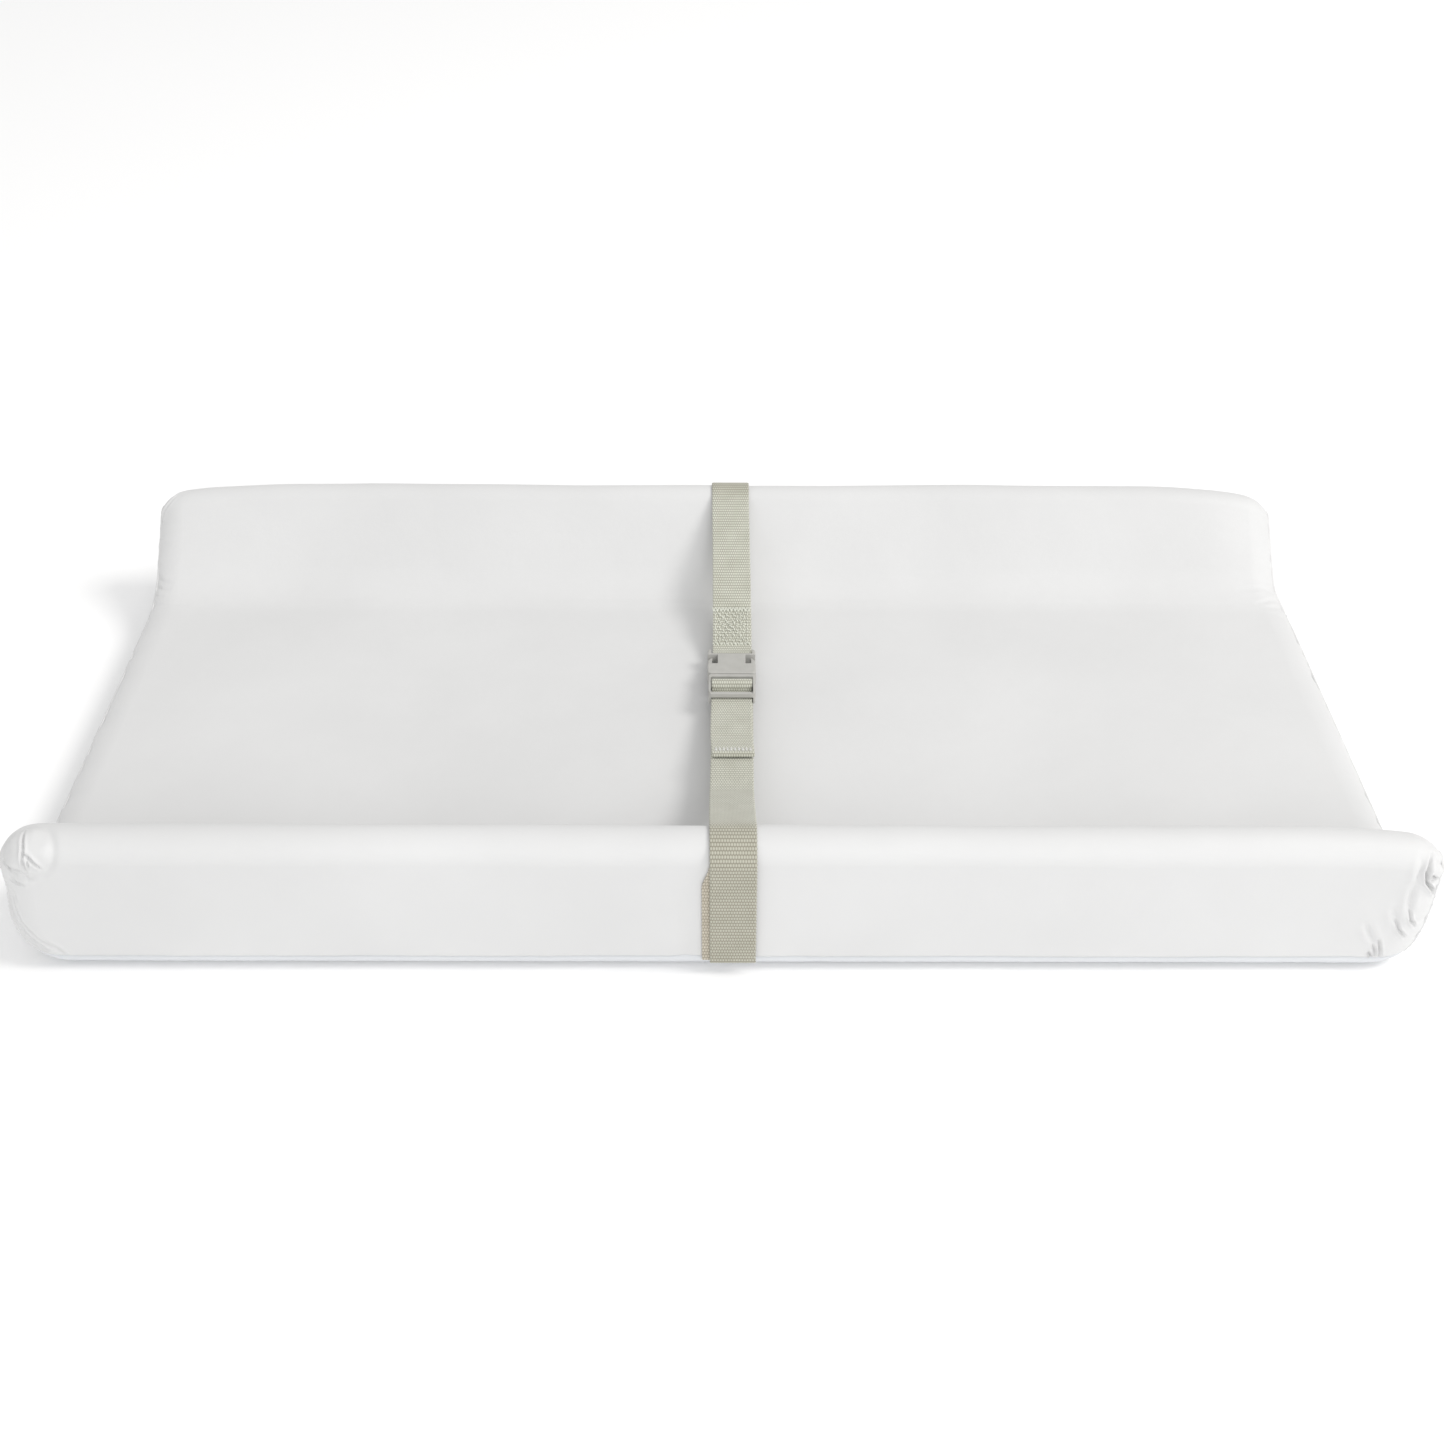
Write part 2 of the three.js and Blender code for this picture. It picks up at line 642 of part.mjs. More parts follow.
function buckleGroup() {
  const group = new THREE.Group();
  group.position.set(WEB.x, 0, BUCKLE.height);
  group.rotation.x = -TILT;
  group.add(
    piece('buckle_socket', socket(), 'buckle', 0.45),
    piece('buckle_plug', plug(), 'buckle', 0.45),
    piece('plug_arm_left', plugArm(-1), 'buckle', 0.45),
    piece('plug_arm_right', plugArm(1), 'buckle', 0.45),
    piece('strap_wrap', webbing(wrapLine(), 0), 'webbing', 0.85),
    piece('strap_tail', webbing(tailLine(), 0), 'webbing', 0.85),
    piece('hem_stitch', hemStitch(), 'thread', 0.7),
  );
  return group;
}

// ---- zipper, on the flat of the right end ------------------------------------------------------

// Everything here is drawn with z standing off the end panel and y along the zipper.
const COIL_BASE = ZIP.tape + 2 * GAP;
const SLIDER_CEILING = COIL_BASE + ZIP.coil + GAP;
const SLIDER_TOP = SLIDER_CEILING + SLIDER.plate;

function slider() {
  const half = SLIDER.width / 2;
  const halfLength = SLIDER.length / 2;
  const outline = roundedRectangle(-half, -halfLength, half, halfLength, 2);
  const settings = { depth: SLIDER_TOP - COIL_BASE, bevelEnabled: false, curveSegments: 4 };
  const shell = new THREE.ExtrudeGeometry(outline, settings).translate(0, 0, COIL_BASE);
  const channel = ZIP.coilWidth / 2 + GAP;
  const tunnel = block([-channel, -SLIDER.length, COIL_BASE - 1], [channel, SLIDER.length, SLIDER_CEILING]);
  const [end, peak] = [ARCH.length / 2, SLIDER_TOP + ARCH.height];
  const arch = block([-ARCH.half, -end, SLIDER_TOP - 0.1], [ARCH.half, end, peak]);
  const across = ARCH.half + 1;
  const inside = end - ARCH.wall;
  const eye = block([-across, -inside, SLIDER_TOP - 1], [across, inside, peak - ARCH.wall]);
  const loop = toManifold(arch).subtract(toManifold(eye));
  return toGeometry(toManifold(shell).subtract(toManifold(tunnel)).add(loop));
}

// A flat tab whose end bar passes through the slider's arch.
function pullTab() {
  const half = PULL.width / 2;
  const inner = half - PULL.frame;
  const outline = roundedRectangle(-half, -PULL.length, half, PULL.barHalf, PULL.frame);
  outline.holes.push(roundedRectangle(-inner, -PULL.eye, inner, -PULL.barHalf, 0.5));
  const settings = { depth: PULL.thickness, bevelEnabled: false, curveSegments: 4 };
  return new THREE.ExtrudeGeometry(outline, settings).translate(0, 0, -PULL.thickness / 2);
}

function zipperStop(side) {
  const half = ZIP.coilWidth / 2 + STOP.wider;
  const y = side * (ZIP.length / 2 + STOP.half + STOP.clear);
  return block([-half, y - STOP.half, COIL_BASE], [half, y + STOP.half, COIL_BASE + STOP.height]);
}

function zipperGroup() {
  const half = ZIP.length / 2;
  const [tapeHalf, coilHalf] = [ZIP.tapeWidth / 2, ZIP.coilWidth / 2];
  const tapeEnd = half + ZIP.tapeSpare;
  const tape = block([-tapeHalf, -tapeEnd, GAP], [tapeHalf, tapeEnd, GAP + ZIP.tape]);
  const coil = block([-coilHalf, -half, COIL_BASE], [coilHalf, half, COIL_BASE + ZIP.coil]);
  const runner = piece('zipper_slider', slider(), 'metal', 0.35, 0.9);
  const pull = piece('zipper_pull', pullTab(), 'metal', 0.35, 0.9);
  runner.position.y = SLIDER.y;
  pull.position.set(0, SLIDER.y, SLIDER_TOP + (ARCH.height - ARCH.wall) / 2);
  const group = new THREE.Group();
  group.add(
    piece('zipper_tape', tape, 'zipper', 0.85),
    piece('zipper_coil', coil, 'zipper', 0.5),
    runner,
    pull,
    piece('zipper_stop_rear', zipperStop(1), 'metal', 0.35, 0.9),
    piece('zipper_stop_front', zipperStop(-1), 'metal', 0.35, 0.9),
  );
  group.position.set(HALF_LENGTH, 0, ZIP.z);
  group.rotation.y = Math.PI / 2;
  return group;
}

// ---- the whole pad, with the middle of its bounding box over the origin --------------------------

const pad = new THREE.Group();
pad.position.x = -ZIP_PROUD / 2;
pad.add(...foamPieces(), ...coverPieces(), ...strapPieces(), boxStitch(), buckleGroup(), zipperGroup());

export default pad;
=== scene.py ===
"""A contoured changing pad: a fabric cover over foam, a strap with a buckle, and a zipper at one end.

Metres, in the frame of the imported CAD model: +X along the pad, -Y the front long side, +Z up.
"""
import math

import bpy
import numpy as np
from mathutils import Matrix, Vector


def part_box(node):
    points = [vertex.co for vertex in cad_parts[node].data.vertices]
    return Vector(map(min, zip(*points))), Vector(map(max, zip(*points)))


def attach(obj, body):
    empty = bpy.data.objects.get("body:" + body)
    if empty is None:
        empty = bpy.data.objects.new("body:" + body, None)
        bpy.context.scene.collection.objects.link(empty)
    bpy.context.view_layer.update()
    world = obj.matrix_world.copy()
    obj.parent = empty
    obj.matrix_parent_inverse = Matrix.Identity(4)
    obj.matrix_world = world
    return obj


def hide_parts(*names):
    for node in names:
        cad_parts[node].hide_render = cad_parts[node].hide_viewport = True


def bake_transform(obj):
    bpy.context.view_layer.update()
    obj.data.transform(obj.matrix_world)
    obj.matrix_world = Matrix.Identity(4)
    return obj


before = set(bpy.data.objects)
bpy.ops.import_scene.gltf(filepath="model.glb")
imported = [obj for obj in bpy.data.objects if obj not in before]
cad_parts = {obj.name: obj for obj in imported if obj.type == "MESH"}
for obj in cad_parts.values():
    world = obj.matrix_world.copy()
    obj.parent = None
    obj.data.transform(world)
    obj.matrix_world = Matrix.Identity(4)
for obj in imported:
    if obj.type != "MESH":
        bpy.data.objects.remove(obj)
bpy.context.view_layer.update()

# ---- sizes ----

MM = 0.001
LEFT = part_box("cover_end_left")[0].x
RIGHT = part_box("cover_end_right")[1].x
MIDDLE_X = (LEFT + RIGHT) / 2
HALF_LENGTH = (RIGHT - LEFT) / 2
HALF_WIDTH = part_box("cover_top_panel")[1].y
HEIGHT = 89.5 * MM
VALLEY = 34 * MM
FOOT = 68 * MM
CREST_R = 14 * MM
BOTTOM_R = 12 * MM
FOOT_R = 46 * MM
END_R = 20 * MM
END_INSET = 12 * MM
CLOTH = 0.8 * MM
GAP = 0.3 * MM
LONG_SEAM = 10  # degrees down round the bottom edge
END_SEAM = 65  # degrees round the rounding of an end

WEB_W = 25.4 * MM
WEB_T = 1.4 * MM
PICK = 2.2 * MM  # spacing of the weave's rows
WARP = WEB_W / 17  # spacing of its columns
DARKER_LENGTH = 91 * MM  # stretch of strap over a wall, from its foot, where the weave's colours are darker
DARKER_FADE = 14 * MM
WALL_TOP = 77 * MM  # height where a strap leaves its wall and turns over the crest
STRAP_BOTTOM = -12  # degrees round the bottom edge where a strap ends
STRAP_X = sum(corner.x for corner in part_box("front_strap_span")) / 2
BACKING_X = sum(corner.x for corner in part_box("front_strap_backing")) / 2

TILT = math.radians(7)
BUCKLE_Z = 47.5 * MM

# Centres of the roundings of the rear side's section, as (y, z).
CREST = (HALF_WIDTH - CREST_R, HEIGHT - CREST_R)
SKIRT = (HALF_WIDTH - BOTTOM_R, BOTTOM_R)
SEAM_TO_MIDDLE = HALF_LENGTH - END_R + END_R * math.radians(END_SEAM)  # along the cloth


def tangent_slope(start, circle, radius):
    """Angle in degrees of the line from a point that touches a circle on its upper side."""
    dy, dz = circle[0] - start[0], circle[1] - start[1]
    return math.degrees(math.atan2(dz, dy) + math.asin(radius / math.hypot(dy, dz)))


SLOPE = tangent_slope((HALF_WIDTH - FOOT, VALLEY), CREST, CREST_R)
FOOT_CENTRE = (HALF_WIDTH - FOOT - FOOT_R * math.tan(math.radians(SLOPE / 2)), VALLEY + FOOT_R)

# ---- small tools ----


def arc(centre, radius, start, end, steps):
    angle = np.radians(np.linspace(start, end, steps + 1))
    return np.column_stack([centre[0] + radius * np.cos(angle), centre[1] + radius * np.sin(angle)])


def straight(a, b, steps):
    return np.linspace(a, b, steps + 1)


def joined(*lines):
    return np.vstack([lines[0], *[line[1:] for line in lines[1:]]])


def distances_along(line):
    return np.concatenate([[0], np.cumsum(np.linalg.norm(np.diff(line, axis=0), axis=1))])


def mirrored(points):
    return (points * [-1, 1])[::-1]


def smoothstep(x, low, high):
    t = np.clip((x - low) / (high - low), 0, 1)
    return t * t * (3 - 2 * t)


def hill(x, width):
    """A smooth bump of height 1 round 0."""
    return np.exp(-((x / width) ** 2))


def lattice(ix, iy, seed):
    """A repeatable random number from -1 to 1 for each whole-numbered point."""
    value = np.sin(ix * 127.1 + iy * 311.7 + seed * 74.7) * 43758.5453
    return 2 * (value - np.floor(value)) - 1


def noise(x, y, size, seed):
    """Smooth noise from -1 to 1 whose lumps are about size across."""
    gx, gy = x / size, y / size
    ix, iy = np.floor(gx), np.floor(gy)
    fx, fy = gx - ix, gy - iy
    fx, fy = fx * fx * (3 - 2 * fx), fy * fy * (3 - 2 * fy)
    low = lattice(ix, iy, seed) * (1 - fx) + lattice(ix + 1, iy, seed) * fx
    high = lattice(ix, iy + 1, seed) * (1 - fx) + lattice(ix + 1, iy + 1, seed) * fx
    return low * (1 - fy) + high * fy


def numbered(*shape):
    """A grid of point numbers."""
    return np.arange(math.prod(shape)).reshape(shape)


def quads(index):
    """The four corners of each cell of a grid of point numbers."""
    a, b, c, d = index[:-1, :-1], index[1:, :-1], index[1:, 1:], index[:-1, 1:]
    return np.stack([a, b, c, d], -1).reshape(-1, 4)


def face_vectors(points, faces):
    p = points[faces]
    return np.cross(p[:, 2] - p[:, 0], p[:, 3] - p[:, 1]) / 2


def point_normals(points, faces):
    normals = np.zeros_like(points)
    vectors = face_vectors(points, faces)
    for corner in range(4):
        np.add.at(normals, faces[:, corner], vectors)
    return normals / np.maximum(np.linalg.norm(normals, axis=1, keepdims=True), 1e-12)


def new_object(name, points, faces):
    """A smooth mesh object from points and lists of their numbers."""
    mesh = bpy.data.meshes.new(name)
    mesh.from_pydata(points.tolist(), [], faces)
    mesh.polygons.foreach_set("use_smooth", [True] * len(mesh.polygons))
    mesh.update()
    made = bpy.data.objects.new(name, mesh)
    bpy.context.scene.collection.objects.link(made)
    return made


def facing_out(name, points, faces, caps=(), uv=None):
    """A closed object whose faces point out. Faces are quads, and caps may have any corners."""
    from_middle = points[faces].mean(1) - points.mean(0)
    if (from_middle * face_vectors(points, faces)).sum() < 0:
        faces = faces[:, ::-1]
        caps = [cap[::-1] for cap in caps]
    made = new_object(name, points, faces.tolist() + [cap.tolist() for cap in caps])
    if uv is not None:
        layer = made.data.uv_layers.new(name="weave")
        corners = np.zeros(len(made.data.loops), np.int32)
        made.data.loops.foreach_get("vertex_index", corners)
        layer.data.foreach_set("uv", uv[corners].astype(np.float32).ravel())
    return made


def thick_skin(name, points, faces, border, thickness, outward):
    """A closed sheet: a surface, the same surface moved inwards, and a wall along its border.

    outward is the way the surface faces on the whole, and border its outermost points in order.
    """
    normals = point_normals(points, faces)
    if (normals * outward).sum() < 0:
        normals = -normals
    count = len(points)
    after = np.roll(border, -1)
    walls = np.stack([after, border, border + count, after + count], -1)
    every = np.vstack([faces, faces[:, ::-1] + count, walls])
    return facing_out(name, np.vstack([points, points - normals * thickness]), every)


def thick_grid(name, grid, thickness, outward):
    """A closed sheet over a grid of points."""
    index = numbered(*grid.shape[:2])
    border = [index[:, 0], index[-1, 1:], index[-2::-1, -1], index[0, -2:0:-1]]
    points = grid.reshape(-1, 3)
    return thick_skin(name, points, quads(index), np.concatenate(border), thickness, outward)


def finished(piece, body, slot, material, *replaced):
    """Gives a piece its material and body, and hides the CAD nodes that it stands for. slot is not
    used.
    """
    piece.data.materials.clear()
    piece.data.materials.append(material)
    if body:
        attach(piece, body)
    if replaced:
        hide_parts(*replaced)
    return piece


# ---- materials ----


class Nodes:
    """A short way to wire a material's nodes."""

    def __init__(self, name, **inputs):
        self.material = bpy.data.materials.new(name)
        self.material.use_nodes = True
        self.tree = self.material.node_tree
        self.shader = self.tree.nodes["Principled BSDF"]
        self.normal = None
        self.wire(self.shader, **inputs)

    def wire(self, node, **inputs):
        """Links or sets a node's inputs by name, with _ for each space."""
        for key, value in inputs.items():
            self.put(node.inputs[key.replace("_", " ")], value)
        return node

    def add(self, kind, **inputs):
        return self.wire(self.tree.nodes.new(kind), **inputs)

    def put(self, socket, value):
        if isinstance(value, bpy.types.NodeSocket):
            self.tree.links.new(value, socket)
        else:
            socket.default_value = value

    def math(self, operation, a, b=0.0, c=0.0):
        node = self.tree.nodes.new("ShaderNodeMath")
        node.operation = operation
        for socket, value in zip(node.inputs, (a, b, c)):
            self.put(socket, value)
        return node.outputs[0]

    def place(self):
        return self.add("ShaderNodeTexCoord").outputs["Object"]

    def noise(self, scale, detail=2.0):
        node = self.add("ShaderNodeTexNoise", Scale=scale, Detail=detail, Vector=self.place())
        return node.outputs["Fac"]

    def blend(self, factor, low, high):
        node = self.tree.nodes.new("ShaderNodeMix")
        node.data_type = "RGBA"
        low, high = ((*tone, 1) if isinstance(tone, tuple) else tone for tone in (low, high))
        return self.wire(node, Factor=factor, A=low, B=high).outputs["Result"]

    def scaled(self, value, low, high):
        node = self.add("ShaderNodeMapRange", Value=value, To_Min=low, To_Max=high)
        return node.outputs["Result"]

    def colour(self, value):
        self.wire(self.shader, Base_Color=value)

    def roughness(self, value):
        self.wire(self.shader, Roughness=value)

    def bump(self, height, distance):
        node = self.add("ShaderNodeBump", Strength=1.0, Distance=distance, Height=height)
        if self.normal is not None:
            self.wire(node, Normal=self.normal)
        self.normal = node.outputs["Normal"]
        self.wire(self.shader, Normal=self.normal)


COATED_THREADS = 0.42 * MM  # spacing of two threads under the coating
WEBBING_FIBRES = 0.3 * MM


def coated_fabric(name, low, high, roughness):
    """Fine plain weave under a smooth coating, with faint marks and small slack wrinkles."""
    n = Nodes(name, Sheen_Weight=0.12, Specular_IOR_Level=0.35)
    axes = n.add("ShaderNodeSeparateXYZ", Vector=n.place()).outputs
    n.colour(n.blend(n.scaled(n.noise(9.0, 4.0), -0.6, 1.6), low, high))
    n.roughness(n.scaled(n.noise(38.0, 3.0), roughness - 0.07, roughness + 0.07))
    threads = 2 * math.pi / COATED_THREADS
    along = n.math("SINE", n.math("MULTIPLY", axes["X"], threads))
    across = n.math("SINE", n.math("MULTIPLY", n.math("ADD", axes["Y"], axes["Z"]), threads))
    n.bump(n.math("MULTIPLY", along, across), 0.012 * MM)
    n.bump(n.noise(420.0, 2.0), 0.03 * MM)
    n.bump(n.noise(32.0, 3.0), 0.5 * MM)
    return n.material


def woven_webbing(name, gap, low, high, darker_start=None):
    """Staggered rows of floats, with painted shade in the gaps between them, and darker colours along
    the first stretch.

    UV is metres across and along.
    """
    n = Nodes(name, Sheen_Weight=0.25, Specular_IOR_Level=0.3)
    uv = n.tree.nodes.new("ShaderNodeUVMap")
    uv.uv_map = "weave"
    axes = n.add("ShaderNodeSeparateXYZ", Vector=uv.outputs["UV"]).outputs
    row = n.math("DIVIDE", axes["Y"], PICK)
    whole = n.math("ROUND", row)
    column = n.math("MULTIPLY_ADD", whole, 0.5, n.math("DIVIDE", axes["X"], WARP))
    wide = n.math("ABSOLUTE", n.math("COSINE", n.math("MULTIPLY", column, math.pi)))
    tall = n.math("COSINE", n.math("MULTIPLY", n.math("SUBTRACT", row, whole), math.pi))
    float_height = n.math("POWER", n.math("MULTIPLY", wide, tall), 0.6)
    slanted = n.math("MULTIPLY_ADD", axes["Y"], 0.35, axes["X"])
    fibre = n.math("SINE", n.math("MULTIPLY", slanted, 2 * math.pi / WEBBING_FIBRES))
    tone = n.blend(n.scaled(n.noise(90.0, 3.0), -0.3, 1.3), low, high)
    # Darker colours over the first stretch along the strap, fading to the plain tones past it.
    if darker_start:
        beyond_start = n.math("MULTIPLY_ADD", axes["Y"], 1 / DARKER_FADE, -DARKER_LENGTH / DARKER_FADE)
        tone = n.blend(beyond_start, n.blend(n.noise(90.0, 3.0), *darker_start), tone)
    # Painted shade: the colour runs to the dark gap colour where the floats are low, between them.
    n.colour(n.blend(n.scaled(float_height, 0.12, 1.15), gap, tone))
    n.roughness(n.scaled(float_height, 0.85, 0.55))
    n.bump(float_height, 0.10 * MM)
    n.bump(fibre, 0.012 * MM)
    return n.material


def moulded_plastic(name, low, high):
    n = Nodes(name, Specular_IOR_Level=0.45)
    n.colour(n.blend(n.scaled(n.noise(140.0, 4.0), -0.4, 1.4), low, high))
    n.roughness(n.scaled(n.noise(600.0, 2.0), 0.36, 0.52))
    n.bump(n.noise(2600.0, 2.0), 0.02 * MM)
    return n.material


def thread(name, low, high):
    n = Nodes(name, Roughness=0.7, Sheen_Weight=0.3)
    n.colour(n.blend(n.noise(900.0, 2.0), low, high))
    n.bump(n.noise(2600.0, 2.0), 0.05 * MM)
    return n.material


def plated_metal(name, low, high):
    n = Nodes(name, Metallic=1.0)
    n.colour(n.blend(n.noise(300.0, 4.0), low, high))
    n.roughness(n.scaled(n.noise(900.0, 3.0), 0.24, 0.42))
    n.bump(n.noise(1800.0, 2.0), 0.01 * MM)
    return n.material


def open_foam(name, low, high):
    n = Nodes(name, Roughness=0.95, Specular_IOR_Level=0.2)
    cells = n.add("ShaderNodeTexVoronoi", Scale=900.0, Vector=n.place()).outputs["Distance"]
    n.colour(n.blend(n.scaled(cells, 1.0, 0.0), low, high))
    n.bump(cells, 0.4 * MM)
    return n.material


COVER = coated_fabric("cover_fabric", (0.635, 0.635, 0.633), (0.675, 0.675, 0.673), 0.50)
UNDERSIDE = coated_fabric("underside_fabric", (0.655, 0.67, 0.69), (0.69, 0.705, 0.725), 0.62)
# The first colour given to each webbing is painted shade for the gaps between its floats.
WEBBING = woven_webbing("webbing", (0.17, 0.155, 0.115), (0.54, 0.545, 0.465), (0.66, 0.67, 0.585),
                        darker_start=((0.42, 0.41, 0.335), (0.515, 0.505, 0.425)))
# The under layers' webbing is the outer webbing darkened and warmed: painted shade and painted warm
# bounce light, besides the painted shade in the gaps between floats.
PAINTED_SHADE_BACKING = woven_webbing("webbing_backing_painted_shade", (0.21, 0.18, 0.13), (0.49, 0.445, 0.36),
                        (0.63, 0.585, 0.49))
THREAD = thread("thread", (0.58, 0.59, 0.51), (0.75, 0.76, 0.68))
WHITE_THREAD = thread("white_thread", (0.74, 0.74, 0.73), (0.84, 0.84, 0.83))
PLASTIC = moulded_plastic("buckle_plastic", (0.40, 0.395, 0.37), (0.455, 0.45, 0.425))
COIL = moulded_plastic("zipper_coil", (0.74, 0.74, 0.72), (0.82, 0.82, 0.80))
METAL = plated_metal("zipper_metal", (0.50, 0.51, 0.52), (0.66, 0.67, 0.68))
FOAM = open_foam("foam", (0.70, 0.62, 0.38), (0.86, 0.80, 0.56))
TAPE = coated_fabric("zipper_tape", (0.60, 0.60, 0.595), (0.66, 0.66, 0.655), 0.8)
LABEL = coated_fabric("label_tape", (0.82, 0.82, 0.80), (0.88, 0.88, 0.86), 0.65)

# ---- the pad's surface ----


# Steps along the skirt, wall, crest, slope, foot and flat of each half of the upper section.
UPPER_COUNTS = (5, 84, 46, 60, 24, 26)


def rear_upper(inset):
    """From the seam on the rear wall over the crest to the middle of the trough."""
    skirt, wall, crest, slope, foot, flat = UPPER_COUNTS
    bottom = arc(SKIRT, BOTTOM_R - inset, -LONG_SEAM, 0, skirt)
    top = arc(CREST, CREST_R - inset, 0, 90 + SLOPE, crest)
    hollow = arc(FOOT_CENTRE, FOOT_R + inset, 270 + SLOPE, 270, foot)
    return joined(
        bottom,
        straight(bottom[-1], top[0], wall),
        top,
        straight(top[-1], hollow[0], slope),
        hollow,
        straight(hollow[-1], (0, VALLEY - inset), flat),
    )


def upper_section(inset):
    rear = rear_upper(inset)
    return joined(rear, mirrored(rear))


def lower_section(inset):
    bend = arc(SKIRT, BOTTOM_R - inset, -90, 5 - LONG_SEAM, 18)
    return joined(mirrored(bend), straight((-SKIRT[0], inset), (SKIRT[0], inset), 90), bend)


# How far each corner has slumped, in mm. The key is its side along x and along y. The values are how
# much its crest dips at the very end, over what length, how much its foot is drawn in, and how high.
CORNERS = {
    (-1, -1): (8.5, 8, 20, 14),
    (1, -1): (9.5, 20, 16, 13),
    (-1, 1): (11, 25, 14, 13),
    (1, 1): (14, 28, 14, 13),
}
SHORT_REAR = 5.0  # mm by which the right end stands back at the rear
SHORT_FRONT = 4.0  # mm by which the left end stands back at the front


def slumped(points):
    """Points of the pad after its corners have slumped."""
    moved = points.copy()
    side = np.where(points[:, 0] < MIDDLE_X, -1, 1)
    front = np.where(points[:, 1] < 0, -1, 1)
    out = np.abs(points[:, 0] - MIDDLE_X)
    away = np.abs(points[:, 1])
    z = points[:, 2]
    near = smoothstep(out, HALF_LENGTH - 75 * MM, HALF_LENGTH - 5 * MM)
    for (corner_side, corner_front), (dip, reach, draw, draw_height) in CORNERS.items():
        here = (side == corner_side) & (front == corner_front)
        fall = dip * np.exp(-(HALF_LENGTH - out) / MM / reach)
        fall *= smoothstep(out, HALF_LENGTH - 4 * reach * MM, HALF_LENGTH - 2 * reach * MM)
        moved[:, 2] -= np.where(here, fall * MM * smoothstep(z, 0.3 * HEIGHT, HEIGHT), 0)
        pull = draw * np.exp(-z / MM / draw_height) * smoothstep(away, 0.145, 0.2) * near
        moved[:, 0] -= np.where(here, corner_side * pull * MM, 0)
    back = (side > 0) * smoothstep(points[:, 1], 0.10, 0.15) * smoothstep(z, 0.022, VALLEY) * near
    moved[:, 0] -= SHORT_REAR * MM * back
    fore = (side < 0) * smoothstep(-points[:, 1], 0.14, 0.185) * smoothstep(z, 0.03, 0.06) * near
    moved[:, 0] += SHORT_FRONT * MM * fore
    return moved


def end_rounding(angle):
    """x past the middle and inset of the rounding of an end."""
    return HALF_LENGTH - END_R + END_R * math.sin(angle), END_INSET * (1 - math.cos(angle))


def end_place(from_seam):
    """x past the middle and inset of the surface at a distance along it from an end seam."""
    turn = math.radians(END_SEAM) - from_seam / END_R
    if turn > 0:
        return end_rounding(turn)
    return HALF_LENGTH - END_R - (from_seam - END_R * math.radians(END_SEAM)), 0.0


def seam_distances(first, fine, fine_end, coarse):
    """Distances from an end seam to the middle of the pad, close together near the seam."""
    found = [first]
    while found[-1] < SEAM_TO_MIDDLE - coarse:
        grown = smoothstep(found[-1], fine_end, 3 * fine_end)
        start = smoothstep(found[-1], 0, 4 * fine)
        found.append(found[-1] + fine * (0.35 + 0.65 * start) + (coarse - fine) * grown)
    return np.array(found)


class Surface:
    """A grid over the long panels: rows along x, columns round the section."""

    def __init__(self, section, distances):
        right = [end_place(d) for d in distances]
        stations = [(-x, inset) for x, inset in right] + right[::-1]
        rings = [np.insert(section(inset), 0, MIDDLE_X + x, axis=1) for x, inset in stations]
        self.grid = np.array(rings)
        rows, columns, _ = self.grid.shape
        self.from_end = np.tile(np.concatenate([distances, distances[::-1]])[:, None], columns)
        self.right = np.arange(rows)[:, None] >= rows // 2

    def raised(self, height):
        """The slumped grid after each point has moved out by its height."""
        points = self.grid.reshape(-1, 3)
        inward = point_normals(points, quads(numbered(*height.shape)))
        return slumped(points - inward * height.reshape(-1, 1)).reshape(self.grid.shape)


def crease(t, s, points, depth, width):
    """A crease with raised lips along a line of points. Distances in mm, height in metres."""
    nearest = np.full(t.shape, 1e9)
    along = np.zeros(t.shape)
    walked = 0.0
    for (t0, s0), (t1, s1) in zip(points, points[1:]):
        length = math.hypot(t1 - t0, s1 - s0)
        share = np.clip(((t - t0) * (t1 - t0) + (s - s0) * (s1 - s0)) / length**2, 0, 1)
        away = np.hypot(t - t0 - share * (t1 - t0), s - s0 - share * (s1 - s0))
        closer = away < nearest
        along = np.where(closer, walked + share * length, along)
        nearest = np.minimum(nearest, away)
        walked += length
    fade = np.sqrt(np.clip(np.sin(np.pi * np.clip(along / walked, 0.02, 0.98)), 0, 1))
    valley = np.exp(-((nearest / width) ** 1.4))
    lips = 0.4 * hill(nearest - 2.1 * width, 1.3 * width)
    return depth * MM * fade * (lips - valley)


def knob(t, s, centre, radius, height, groove, gathers):
    """A gathered knob of cloth with a groove round it."""
    dt, ds = t - centre[0], s - centre[1]
    r = np.hypot(dt, ds) / radius
    angle = np.arctan2(ds, dt)
    bulge = height * np.clip(1 - r**2, 0, 1) ** 1.5
    ring = groove * hill((r - 1.0) * radius, 2.6)
    tucks = 0.4 * np.cos(gathers * angle) * hill(r - 0.72, 0.3) * hill(r - 0.8, 0.5)
    return MM * (bulge - ring + tucks)


